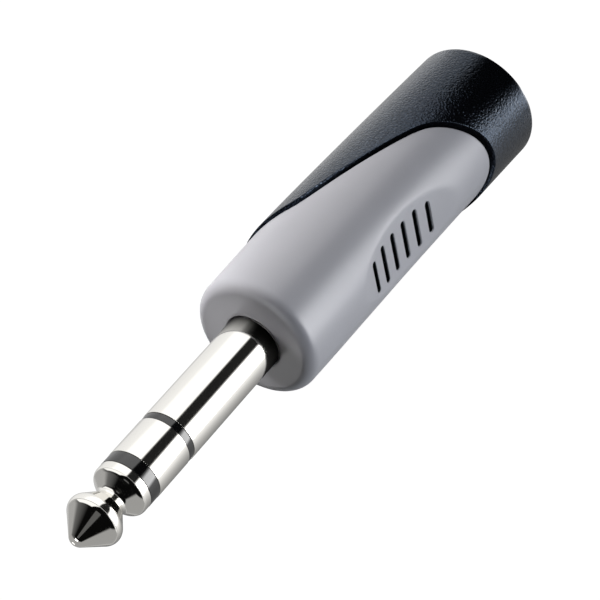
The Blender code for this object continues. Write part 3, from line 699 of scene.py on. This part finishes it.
def tip_profile(body, plug, level):
    """Nose, ball, neck and rim of the tip, with the centre rod behind them."""
    back = level["head_bottom"]
    neck = (plug.neck_radius, back + plug.neck_height)
    rim_rise = (plug.rim_radius - plug.neck_radius) / math.tan(plug.rim_flank)
    rim = (plug.rim_radius, neck[1] - rim_rise)
    half_turn = (plug.ball_flank + plug.nose_flank) / 2.0
    crest_radius = plug.ball_radius + plug.ball_round * (1.0 / math.cos(half_turn) - 1.0)
    crest_rise = (crest_radius - plug.neck_radius) / math.tan(plug.ball_flank)
    crest = (crest_radius, neck[1] + crest_rise)
    apex = (0.0, crest[1] + crest_radius / math.tan(plug.nose_flank))
    nose_end = back + plug.head_length
    nose_centre = (0.0, nose_end - plug.nose_round)
    nose = arc(nose_centre, plug.nose_round, 90.0, math.degrees(plug.nose_flank), 12)
    points = [(0.0, nose_end)] + nose[1:]
    points += rounded_corner(apex, crest, neck, plug.ball_round, steps=24)
    points += rounded_corner(crest, neck, rim, plug.neck_round, steps=12)
    points += rounded_corner(neck, rim, (plug.rim_radius, back), plug.rim_round, steps=20)
    points += [(plug.rim_radius, back + plug.chamfer), (plug.rim_radius - plug.chamfer, back)]
    rivet = level["rivet_top"]
    points += [(plug.rod_radius, back), (plug.rod_radius, rivet), (plug.rivet_radius, rivet),
               (plug.rivet_radius, rivet - plug.rivet / 2.0), (plug.rod_radius, rivet - plug.rivet),
               (0.0, rivet - plug.rivet)]
    return points


def broken_edge(radius, height, chamfer, side):
    """Small rounding at the end of a cylinder; side is +1 for its upper end and -1 for its lower."""
    points = arc((radius - chamfer, height - side * chamfer), chamfer, 90.0 * side, 0.0, 4)
    return points if side > 0 else points[::-1]


class ADAPTER_OT_plug(Operator):
    """Turn the plug's tip, ring, sleeve and insulators"""
    bl_idname = "adapter.plug"
    bl_label = "Plug"

    def execute(self, context):
        scene = context.scene
        body, plug = scene.adapter_body, scene.adapter_plug
        level = stack_levels(body, plug)
        fit, chamfer = body.fit, plug.chamfer
        tip_tube = plug.rod_radius + fit + plug.tip_tube
        ring_bore = tip_tube + fit
        ring_tube = ring_bore + plug.ring_tube
        insulator_bore = ring_tube + fit
        insulator_tube = insulator_bore + plug.ring_insulator
        nickel = bright_nickel(scene.adapter_finish)
        acetal = gloss_black(scene.adapter_finish)
        turn_piece("tip_contact", tip_profile(body, plug, level), False, nickel, "nickel")
        collars = (("tip_insulator", level["ring_top"], level["head_bottom"],
                    plug.rod_radius + fit, tip_tube, level["washer_bottom"]),
                   ("ring_insulator", level["sleeve_top"], level["ring_bottom"],
                    insulator_bore, insulator_tube, level["shank_bottom"]))
        for name, low, high, bore, outer, end in collars:
            low, high = low + plug.collar_gap, high - plug.collar_gap
            points = broken_edge(plug.collar_radius, high, chamfer, 1.0)
            points += broken_edge(plug.collar_radius, low, chamfer, -1.0)
            points += [(outer, low), (outer, end), (bore, end), (bore, high)]
            turn_piece(name, points, True, acetal, "insulator")
        points = broken_edge(plug.ring_radius, level["ring_top"], chamfer, 1.0)
        points += broken_edge(plug.ring_radius, level["ring_bottom"], chamfer, -1.0)
        points += [(ring_tube, level["ring_bottom"]), (ring_tube, level["ring_tube_bottom"]),
                   (ring_bore, level["ring_tube_bottom"]), (ring_bore, level["ring_top"])]
        turn_piece("ring_contact", points, True, nickel, "nickel")
        points = broken_edge(plug.sleeve_radius, level["sleeve_top"], chamfer, 1.0)
        sleeve_bore = insulator_tube + fit
        points += [(plug.sleeve_radius, level["flange_top"]), (plug.flange_radius, level["flange_top"]),
                   (plug.flange_radius, level["flange_bottom"]),
                   (plug.shank_radius, level["flange_bottom"]), (plug.shank_radius, level["shank_bottom"]),
                   (sleeve_bore, level["shank_bottom"]), (sleeve_bore, level["sleeve_top"])]
        turn_piece("sleeve_contact", points, True, nickel, "nickel")
        return {"FINISHED"}


class ADAPTER_OT_socket(Operator):
    """Turn the socket's front bush"""
    bl_idname = "adapter.socket"
    bl_label = "Socket bush"

    def execute(self, context):
        scene = context.scene
        body, socket = scene.adapter_body, scene.adapter_socket
        low = body.rear_wall + body.seat
        high = low + socket.flange
        lip = socket.bush_radius - socket.bore
        points = [(socket.bush_radius, low), (socket.bush_radius, socket.recess)]
        points += arc((socket.bush_radius, socket.recess + lip), lip, MOUTH_START, -180.0, 10)
        points += [(socket.bore, socket.depth), (socket.liner_radius, socket.depth),
                   (socket.liner_radius, high), (socket.flange_radius, high), (socket.flange_radius, low)]
        turn_piece("socket_bush", points, True, bright_nickel(scene.adapter_finish), "nickel",
                   foot=(body.rear_lean, 0.0, 0.0))
        return {"FINISHED"}


# Finishes

# Real depths of the grains and marks.
GREY_RELIEF = 0.000006
BLACK_RELIEF = 0.000085
TURNING_RELIEF = 0.0000006
RIPPLE_RELIEF = 0.000003
ROLLED_RELIEF = 0.000002
# Sizes of the faint changes of tone, the smudges and the ripple.
GREY_DRIFT = 0.004
BLACK_DRIFT = 0.003
SMUDGE = 0.0012
RIPPLE = 0.0006
PIT_SHARE = 0.8           # size of the black shell's pits, as a share of its grain
BLUE_SHEEN = (0.55, 0.72, 1.0, 1.0)
# Inner plastics: name, its colour in the finishes, roughness, size and depth of the grain, pieces.
INNER_PLASTICS = (
    ("PBT, moulded dull black", "socket", 0.5, 0.0002, 0.000006, ("back_insulator", "socket_body")),
    ("vulcanised fibre, punched", "fibre", 0.75, 0.00015, 0.000010, ("lug_washer",)),
    ("PVC insulation, extruded white", "white_wire", 0.42, 0.0005, 0.000003, ("tip_wire",)),
    ("PVC insulation, extruded red", "red_wire", 0.42, 0.0005, 0.000003, ("ring_wire",)),
    ("PVC insulation, extruded black", "black_wire", 0.42, 0.0005, 0.000003, ("sleeve_wire",)))
# Inner metals: name, its colour in the finishes, roughness, spacing of the rolling marks, pieces.
INNER_METALS = (
    ("brass strip, tinned", "tin", 0.34, 0.0002, ("sleeve_lug", "ring_lug", "tip_lug")),
    ("phosphor bronze strip, rolled", "bronze", 0.30, 0.0002,
     ("socket_ring_spring", "socket_tip_spring", "socket_sleeve_tag")))


def new_material(name):
    """Material with an empty node tree."""
    material = bpy.data.materials.new(name)
    material.use_nodes = True
    material.node_tree.nodes.clear()
    return material, material.node_tree


def object_noise(tree, grain, detail=2.0, stretch=(1.0, 1.0, 1.0), roughness=0.5):
    """Noise with features of a real size, in the piece's own space."""
    where = add_node(tree, "ShaderNodeTexCoord").outputs["Object"]
    spread = add_node(tree, "ShaderNodeMapping", {"Vector": where, "Scale": stretch})
    return add_node(tree, "ShaderNodeTexNoise", {
        "Vector": spread.outputs[0], "Scale": 1.0 / grain, "Detail": detail,
        "Roughness": roughness}).outputs[0]


def between(tree, factor, low, high, start=0.0, end=1.0):
    """Value that runs from low to high while the factor runs from its start to its end."""
    return add_node(tree, "ShaderNodeMapRange", {
        "Value": factor, "From Min": start, "From Max": end, "To Min": low, "To Max": high}).outputs[0]


def shade(tree, colour_value, factor, low, high):
    """The colour made a little darker and lighter by a factor."""
    level = between(tree, factor, low, high)
    mixed = add_node(tree, "ShaderNodeVectorMath", {0: colour_value, "Scale": level}, operation="SCALE")
    return mixed.outputs[0]


def bump(tree, height, depth):
    """Relief of a real depth."""
    relief = add_node(tree, "ShaderNodeBump", {"Height": height, "Distance": depth, "Strength": 1.0})
    return relief.outputs[0]


def close_material(tree, inputs):
    """Put the shader with its inputs at the end of a material."""
    shader = add_node(tree, "ShaderNodeBsdfPrincipled", inputs)
    add_node(tree, "ShaderNodeOutputMaterial", {"Surface": shader.outputs[0]})


def satin_grey(finish):
    """ABS, moulded in a fine matt-eroded tool: a satin grey with soft, slightly mottled highlights."""
    material, tree = new_material("satin ABS, moulded grey")
    grain = object_noise(tree, finish.grey_grain)
    drift = object_noise(tree, GREY_DRIFT)
    normal = bump(tree, grain, GREY_RELIEF)
    close_material(tree, {
        "Base Color": shade(tree, finish.grey, drift, 0.97, 1.03), "IOR": 1.56, "Normal": normal,
        "Roughness": between(tree, grain, 0.28, 0.38)})
    return material


def textured_black(finish):
    """Nylon, moulded in a spark-eroded tool: near black, and its grain breaks highlights into sparkle."""
    material, tree = new_material("nylon, spark-eroded black")
    cells = object_noise(tree, finish.black_grain, 1.0)
    pits = object_noise(tree, finish.black_grain * PIT_SHARE, 2.0, roughness=0.7)
    drift = object_noise(tree, BLACK_DRIFT)
    normal = bump(tree, cells, BLACK_RELIEF)
    close_material(tree, {
        "Base Color": shade(tree, finish.black, drift, 0.9, 1.1), "IOR": 1.56, "Normal": normal,
        "Specular Tint": BLUE_SHEEN, "Roughness": between(tree, cells, 0.12, 0.18),
        "Specular IOR Level": between(tree, pits, -0.3, 1.3)})
    return material


def bright_nickel(finish):
    """Bright nickel plate on turned brass: a clear mirror with faint rings left by the lathe tool."""
    name = "bright nickel plate on turned brass"
    if name in bpy.data.materials:
        return bpy.data.materials[name]
    material, tree = new_material(name)
    rings = object_noise(tree, finish.turning, 1.0, stretch=(0.01, 0.01, 1.0))
    smudge = object_noise(tree, SMUDGE, 3.0)
    close_material(tree, {
        "Base Color": shade(tree, finish.nickel, smudge, 0.98, 1.0), "Metallic": 1.0,
        "Roughness": between(tree, smudge, 0.05, 0.11), "Normal": bump(tree, rings, TURNING_RELIEF)})
    return material


def gloss_black(finish):
    """Acetal, moulded in a polished tool: gloss black with a faint ripple."""
    material, tree = new_material("acetal, polished black")
    ripple = object_noise(tree, RIPPLE)
    close_material(tree, {
        "Base Color": shade(tree, finish.insulator, ripple, 0.8, 1.2), "IOR": 1.7,
        "Roughness": between(tree, ripple, 0.05, 0.10), "Normal": bump(tree, ripple, RIPPLE_RELIEF)})
    return material


def simple_plastic(name, tint, roughness, grain, depth):
    """Moulded or extruded plastic with a fine grain."""
    material, tree = new_material(name)
    fine = object_noise(tree, grain)
    close_material(tree, {
        "Base Color": shade(tree, tint, fine, 0.93, 1.07), "IOR": 1.5, "Normal": bump(tree, fine, depth),
        "Roughness": between(tree, fine, roughness - 0.05, roughness + 0.05)})
    return material


def strip_metal(name, tint, roughness, grain):
    """Pressed strip with rolling marks along its length."""
    material, tree = new_material(name)
    marks = object_noise(tree, grain, 2.0, stretch=(1.0, 1.0, 0.05))
    close_material(tree, {
        "Base Color": shade(tree, tint, marks, 0.92, 1.0), "Metallic": 1.0,
        "Roughness": between(tree, marks, roughness - 0.06, roughness + 0.06),
        "Normal": bump(tree, marks, ROLLED_RELIEF)})
    return material


class ADAPTER_OT_inner_finishes(Operator):
    """Give the kept inner pieces their finishes"""
    bl_idname = "adapter.inner_finishes"
    bl_label = "Inner finishes"

    def execute(self, context):
        finish = context.scene.adapter_finish
        coats = [(simple_plastic(name, getattr(finish, tint), *sizes), nodes)
                 for name, tint, *sizes, nodes in INNER_PLASTICS]
        coats += [(strip_metal(name, getattr(finish, tint), *sizes), nodes)
                  for name, tint, *sizes, nodes in INNER_METALS]
        for material, nodes in coats:
            for node in nodes:
                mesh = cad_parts[node].data
                mesh.materials.clear()
                mesh.materials.append(material)
        return {"FINISHED"}


# Studio

FLOOR_HALF = 3.0
FLOOR_PAINT = (0.86, 0.86, 0.86, 1.0)
FLOOR_GLOW = 0.85         # share of the floor that is plain white to the camera
FLOOR_WHITE = 1.12        # level of that white
REFLECTOR_HALF = 0.6
REFLECTOR_RISE = 0.00005  # the reflector card, above the floor
WARM = (1.0, 0.985, 0.96)
COOL = (0.88, 0.94, 1.0)
MIDDLE = Vector((0.0, 0.0, 0.035))
FRONT = Vector((0.0, 0.0, SHELL_BOX[1].z))
# Lamps: name, turn from the camera's side, lift, distance, aim, width and height, spread, tint.
LAMPS = (("left", -88.0, 0.0, 0.30, MIDDLE, (0.16, 0.07), 180.0, WARM),
         ("right", 60.0, 0.0, 0.30, MIDDLE, (0.16, 0.07), 180.0, COOL),
         ("kicker", -95.0, 32.0, 0.024, FRONT, (0.014, 0.014), 50.0, WARM))
# Cards that only reflections see: name, turn from the camera's side, lift, width and height, level.
CARDS = (("top_card", 0.0, 88.5, (0.14, 0.06), 4.2),
         ("back_card", 180.0, 36.3, (0.07, 0.07), 2.3),
         ("faint_card", -8.0, 56.0, (0.09, 0.08), 0.12))
CARD_DISTANCE = 0.30      # from the middle of the front face
# What reflections see on the floor, as (turn from the camera's side in degrees, level): a dark gap at
# the camera's side, a bright stretch at the right and a fall-off behind. The foot's levels hold near
# the body, and the other two each from its distance from the plug's axis.
FOOT_LEVELS = ((-180, 0.6), (-125, 1.25), (-100, 1.0), (-61, 0.85), (-43, 0.12), (-34, 0.0),
               (21, 0.0), (29, 0.08), (38, 0.5), (46, 2.2), (55, 3.4), (65, 2.9), (75, 1.3),
               (85, 0.75), (97, 0.8), (114, 0.45), (140, 0.3), (180, 0.2))
LEFT_AND_GAP = ((-180, 0.5), (-164, 0.6), (-147, 0.7), (-135, 0.95), (-85, 1.1), (-70, 1.4),
                (-20, 1.4), (-15, 0.015), (18, 0.015))
FALL_OFF = ((89, 0.85), (100, 0.65), (112, 0.50), (127, 0.38), (147, 0.28), (180, 0.2))
BODY_LEVELS = (*LEFT_AND_GAP, (24, 1.5), (34, 4.4), (58, 4.2), (68, 2.8), (78, 1.2), *FALL_OFF)
PLUG_LEVELS = (*LEFT_AND_GAP, (24, 1.4), (34, 7.5), (62, 7.5), (74, 1.2), *FALL_OFF)
CARD_ZONES = ((BODY_LEVELS, 0.024), (PLUG_LEVELS, 0.072))
ZONE_SOFTNESS = 0.004
# The same for the room above the floor: dark round the camera, pale behind.
ROOM_LEVELS = ((-180, 0.45), (-118, 0.45), (-104, 0.15), (-60, 0.003), (78, 0.003),
               (86, 0.4), (180, 0.4))
# How high the bright band stands above the floor all round, as the sine of its lift.
HORIZON_TOPS = ((-180, 0.0), (-110, 0.0), (-95, 0.40), (-55, 0.54), (-42, 0.58),
                (-18, 0.08), (-14, 0.0), (15, 0.0), (32, 0.12), (69, 0.14), (90, 0.10),
                (104, 0.0), (180, 0.0))
HORIZON_LEVEL = 1.25
HORIZON_SOFTNESS = 0.06
# Painted reflection of the front face, for the plug to mirror: a glowing ring just over the face, dim at
# the left, and dark in front and at the right, where it paints the face's shade.
FACE_REFLECTION_LEVELS = ((-180, 0.50), (-110, 0.60), (-70, 0.50), (-54, 0.20), (-34, 0.03),
               (-20, 0.004), (60, 0.004), (110, 0.02), (180, 0.02))
FACE_REFLECTION_WIDTH = 0.0028
FACE_REFLECTION_GAP = 0.00005        # the painted reflection, above the front face
FACE_REFLECTION_DIM = 0.03           # level of the painted reflection next to the plug
FACE_REFLECTION_STEPS = 96
# The camera that was fitted to the photograph.
CAMERA_PLACE = (0.12572, 0.14863, 0.17988)
CAMERA_RIGHT = Vector((0.8254, -0.1804, -0.5348))
CAMERA_FORWARD = Vector((-0.5182, -0.6176, -0.5916))
FRAME_WIDTH = 36.0        # in millimetres
CLIP_START = 0.01


def studio_point(side, turn, lift, distance, height):
    """Point at a turn from the camera's side and a lift, in degrees, seen from a height on the axis."""
    turn, lift = math.radians(turn), math.radians(lift)
    flat = distance * math.cos(lift)
    return Vector((flat * math.cos(side - turn), flat * math.sin(side - turn),
                   height + distance * math.sin(lift)))


def add_softbox(name, place, target, size, power, spread, tint):
    """Softbox of a width and a height; the cards stand in for it in reflections."""
    lamp = bpy.data.lights.new(name, "AREA")
    lamp.shape = "RECTANGLE"
    lamp.size, lamp.size_y = size
    lamp.energy = power
    lamp.spread = math.radians(spread)
    lamp.color = tint
    obj = link_object(name, lamp)
    obj.location = place
    obj.rotation_euler = (target - place).to_track_quat("-Z", "Y").to_euler()
    obj.visible_glossy = False
    obj.visible_camera = False
    return obj


def add_sheet(name, half, height, material):
    """Square stage sheet, level at a height."""
    mesh = bpy.data.meshes.new(name)
    corners = [(-half, -half, height), (half, -half, height), (half, half, height), (-half, half, height)]
    mesh.from_pydata(corners, [], [(0, 1, 2, 3)])
    mesh.materials.append(material)
    obj = link_object(name, mesh)
    return obj


def how_far(tree, where):
    """Distance of a place from the middle of its space."""
    return add_node(tree, "ShaderNodeVectorMath", {0: where}, operation="LENGTH").outputs["Value"]


def ray_kinds(tree):
    """Two factors: 1 for what the camera sees, and 1 for what mirrors see."""
    rays = add_node(tree, "ShaderNodeLightPath").outputs
    seen = math_node(tree, "MAXIMUM", rays["Is Camera Ray"], rays["Is Transmission Ray"])
    return seen, rays["Is Glossy Ray"]


def light_of(tree, kind, tint, level):
    """Light of a colour and a level, from a surface (Emission) or from the world (Background)."""
    return add_node(tree, f"ShaderNode{kind}", {"Color": tint, "Strength": level}).outputs[0]


def mix_light(tree, share, first, second):
    """The first light, or the second where the share is 1."""
    return add_node(tree, "ShaderNodeMixShader", {0: share, 1: first, 2: second}).outputs[0]


def floor_material(bounce_level):
    """White paint, rolled: white to the camera, and to all other light a pale floor that glows."""
    material, tree = new_material("floor paint, white")
    paint = add_node(tree, "ShaderNodeBsdfDiffuse", {"Color": FLOOR_PAINT})
    bounce = light_of(tree, "Emission", WHITE, bounce_level)
    lit = add_node(tree, "ShaderNodeAddShader", {0: paint.outputs[0], 1: bounce})
    share = math_node(tree, "MULTIPLY", ray_kinds(tree)[0], FLOOR_GLOW)
    mixed = mix_light(tree, share, lit.outputs[0], light_of(tree, "Emission", WHITE, FLOOR_WHITE))
    add_node(tree, "ShaderNodeOutputMaterial", {"Surface": mixed})
    return material


def round_ramp(tree, where, side, stops, foot=0.0):
    """Level that depends on the turn from the camera's side; stops are (turn in degrees, level).

    With a foot radius, the turn is the way that a mirror of that radius round the middle sends its rays.
    """
    turned = add_node(tree, "ShaderNodeMapping", {"Vector": where, "Rotation": (0.0, 0.0, -side)})
    swept = add_node(tree, "ShaderNodeTexGradient", {"Vector": turned.outputs[0]},
                     gradient_type="RADIAL").outputs[1]
    if foot:
        share = math_node(tree, "DIVIDE", foot, how_far(tree, where))
        widening = math_node(tree, "DIVIDE", 2.0, math_node(tree, "SUBTRACT", 2.0, share))
        off_middle = math_node(tree, "MULTIPLY", math_node(tree, "SUBTRACT", swept, 0.5), widening)
        swept = math_node(tree, "ADD", off_middle, 0.5)
    ramp = add_node(tree, "ShaderNodeValToRGB", {"Fac": swept})
    elements = ramp.color_ramp.elements
    while len(elements) < len(stops):
        elements.new(0.5)
    brightest = max(level for _, level in stops)
    for element, (turn, level) in zip(elements, sorted(stops, reverse=True)):
        element.position = 0.5 - turn / 360.0
        element.color = (level / brightest, level / brightest, level / brightest, 1.0)
    return ramp.outputs["Color"], brightest


def card_material(side, foot_radius, foot_lean):
    """Glowing card that only reflections see, its levels of light laid out in rings round the adapter, so
    that it paints the reflections of the body and the plug.
    """
    material, tree = new_material("reflector card, printed")
    where = add_node(tree, "ShaderNodeTexCoord").outputs["Object"]
    from_foot = add_node(tree, "ShaderNodeVectorMath", {0: where, 1: (foot_lean, 0.0, 0.0)},
                         operation="SUBTRACT").outputs[0]
    reach = how_far(tree, where)
    light = light_of(tree, "Emission", *round_ramp(tree, from_foot, side, FOOT_LEVELS, foot_radius))
    for levels, start in CARD_ZONES:
        share = between(tree, reach, 0.0, 1.0, start - ZONE_SOFTNESS, start + ZONE_SOFTNESS)
        zone = light_of(tree, "Emission", *round_ramp(tree, where, side, levels))
        light = mix_light(tree, share, light, zone)
    add_node(tree, "ShaderNodeOutputMaterial", {"Surface": light})
    return material


def plain_card_material(name, level):
    """Card paper that gives off one level of white."""
    material, tree = new_material(name)
    add_node(tree, "ShaderNodeOutputMaterial", {"Surface": light_of(tree, "Emission", WHITE, level)})
    return material


def add_card(name, place, target, size, level):
    """Card of a width and a height that faces a point and shows only in reflections."""
    shape = bmesh.new()
    bmesh.ops.create_grid(shape, x_segments=1, y_segments=1, size=0.5)
    bmesh.ops.scale(shape, verts=shape.verts, vec=(size[0], size[1], 1.0))
    facing = (target - place).to_track_quat("Z", "Y").to_matrix().to_4x4()
    bmesh.ops.transform(shape, matrix=Matrix.Translation(place) @ facing, verts=shape.verts)
    card = place_mesh(name, shape)
    card.data.materials.append(plain_card_material(f"{name} paper", level))
    only_reflected(card)
    return card


def add_painted_face_reflection(side, inner, outer, height):
    """Ring of painted reflection just above the front face, glowing with the face's painted light and
    shade; only the plug's reflections see it, from above.
    """
    shape = bmesh.new()
    rims = [[shape.verts.new((*point, 0.0)) for point in arc((0.0, 0.0), radius, 0.0, 360.0, FACE_REFLECTION_STEPS)]
            for radius in (inner, outer)]
    for near, far, far_ahead, near_ahead in zip(rims[0], rims[1], rims[1][1:], rims[0][1:]):
        shape.faces.new((near, far, far_ahead, near_ahead))
    face_reflection = place_mesh("face_flag", shape)
    face_reflection.location.z = height
    face_reflection.data.materials.append(painted_face_reflection_material(side, inner, outer))
    only_reflected(face_reflection)
    return face_reflection


def painted_face_reflection_material(side, inner, outer):
    """Painted light and shade of the front face as the plug mirrors it: dark next to the plug, brighter
    away from it, and clear from below.
    """
    material, tree = new_material("flag over the front face")
    where = add_node(tree, "ShaderNodeTexCoord").outputs["Object"]
    level, brightest = round_ramp(tree, where, side, FACE_REFLECTION_LEVELS, inner)
    rise = between(tree, how_far(tree, where), FACE_REFLECTION_DIM, brightest, inner, outer)
    under = add_node(tree, "ShaderNodeNewGeometry").outputs["Backfacing"]
    clear = add_node(tree, "ShaderNodeBsdfTransparent").outputs[0]
    shown = mix_light(tree, under, light_of(tree, "Emission", level, rise), clear)
    add_node(tree, "ShaderNodeOutputMaterial", {"Surface": shown})
    return material


def only_reflected(card):
    """Hide a card from everything but reflections."""
    for ray in ("visible_camera", "visible_diffuse", "visible_shadow", "visible_transmission"):
        setattr(card, ray, False)


def studio_world(side, ambient):
    """White behind the object for the camera, a dark room with a bright low band and a pale back for
    reflections, and a little soft light for the rest.
    """
    world = bpy.data.worlds.new("studio room")
    world.use_nodes = True
    tree = world.node_tree
    tree.nodes.clear()
    seen, in_mirror = ray_kinds(tree)
    where = add_node(tree, "ShaderNodeTexCoord").outputs["Generated"]
    top, highest = round_ramp(tree, where, side, HORIZON_TOPS)
    height = add_node(tree, "ShaderNodeSeparateXYZ", {"Vector": where}).outputs["Z"]
    below = math_node(tree, "SUBTRACT", math_node(tree, "MULTIPLY", top, highest), height)
    share = between(tree, below, 0.0, 1.0, 0.0, HORIZON_SOFTNESS)
    walls = light_of(tree, "Background", *round_ramp(tree, where, side, ROOM_LEVELS))
    mirrored = mix_light(tree, share, walls, light_of(tree, "Background", WHITE, HORIZON_LEVEL))
    room = mix_light(tree, in_mirror, light_of(tree, "Background", WHITE, ambient), mirrored)
    mixed = mix_light(tree, seen, room, light_of(tree, "Background", WHITE, 1.0))
    add_node(tree, "ShaderNodeOutputWorld", {"Surface": mixed})
    return world


def add_camera(lens):
    """Camera of a focal length, where the photograph was taken from."""
    camera = bpy.data.cameras.new("camera")
    camera.lens = lens
    camera.sensor_width = FRAME_WIDTH
    camera.clip_start = CLIP_START
    obj = link_object("camera", camera)
    right_way, forward = CAMERA_RIGHT.normalized(), CAMERA_FORWARD.normalized()
    up_way = right_way.cross(forward).normalized()
    turn = Matrix((right_way, up_way, -forward)).transposed()
    obj.matrix_world = Matrix.Translation(CAMERA_PLACE) @ turn.to_4x4()
    return obj


class ADAPTER_OT_stage(Operator):
    """Add the floor, the cards that reflections see, the lamps, the room and the camera"""
    bl_idname = "adapter.stage"
    bl_label = "Studio"

    def execute(self, context):
        scene = context.scene
        body, studio = scene.adapter_body, scene.adapter_studio
        add_sheet("floor", FLOOR_HALF, CAD_BOX[0].z, floor_material(studio.bounce))
        card_glow = card_material(studio.view, body.rear_radius + body.proud, body.rear_lean)
        only_reflected(add_sheet("reflector_card", REFLECTOR_HALF, CAD_BOX[0].z + REFLECTOR_RISE, card_glow))
        for name, turn, lift, distance, aim, size, spread, tint in LAMPS:
            place = studio_point(studio.view, turn, lift, distance, aim.z)
            add_softbox(name, place, aim, size, getattr(studio, f"{name}_power"), spread, tint)
        for name, turn, lift, size, level in CARDS:
            place = studio_point(studio.view, turn, lift, CARD_DISTANCE, FRONT.z)
            add_card(name, place, FRONT, size, level)
        plug_radius = scene.adapter_plug.sleeve_radius
        # Painted reflection of the front face, which only the plug mirrors
        add_painted_face_reflection(studio.view, plug_radius, plug_radius + FACE_REFLECTION_WIDTH, body.length + FACE_REFLECTION_GAP)
        scene.world = studio_world(studio.view, studio.ambient)
        scene.camera = add_camera(studio.lens)
        scene.view_settings.view_transform = "Standard"
        return {"FINISHED"}


# Panel, registration and the run

class ADAPTER_PT_panel(Panel):
    """Adapter tools in the 3D view's sidebar"""
    bl_idname = "ADAPTER_PT_panel"
    bl_label = "Adapter"
    bl_space_type = "VIEW_3D"
    bl_region_type = "UI"
    bl_category = "Adapter"

    def draw(self, context):
        for step in STEPS:
            self.layout.operator(step.bl_idname)
        for name in GROUPS:
            box = self.layout.box()
            box.label(text=name.capitalize())
            settings = getattr(context.scene, f"adapter_{name}")
            for field in settings.__annotations__:
                box.prop(settings, field)


GROUPS = {"body": BodySizes, "seam": SeamSizes, "grip": GripSizes, "plug": PlugSizes,
          "socket": SocketSizes, "finish": Finishes, "studio": Studio}
STEPS = (ADAPTER_OT_stage, ADAPTER_OT_front_shell, ADAPTER_OT_rear_shell, ADAPTER_OT_plug,
         ADAPTER_OT_socket, ADAPTER_OT_inner_finishes)


def register():
    for group in (*GROUPS.values(), *STEPS, ADAPTER_PT_panel):
        bpy.utils.register_class(group)
    for name, group in GROUPS.items():
        setattr(bpy.types.Scene, f"adapter_{name}", PointerProperty(type=group))


def unregister():
    for name in GROUPS:
        delattr(bpy.types.Scene, f"adapter_{name}")
    for group in (ADAPTER_PT_panel, *reversed(STEPS), *reversed(GROUPS.values())):
        bpy.utils.unregister_class(group)


def main():
    register()
    bpy.ops.adapter.stage()
    bpy.ops.adapter.front_shell()
    bpy.ops.adapter.rear_shell()
    bpy.ops.adapter.plug()
    bpy.ops.adapter.socket()
    bpy.ops.adapter.inner_finishes()


if __name__ == "__main__":
    main()
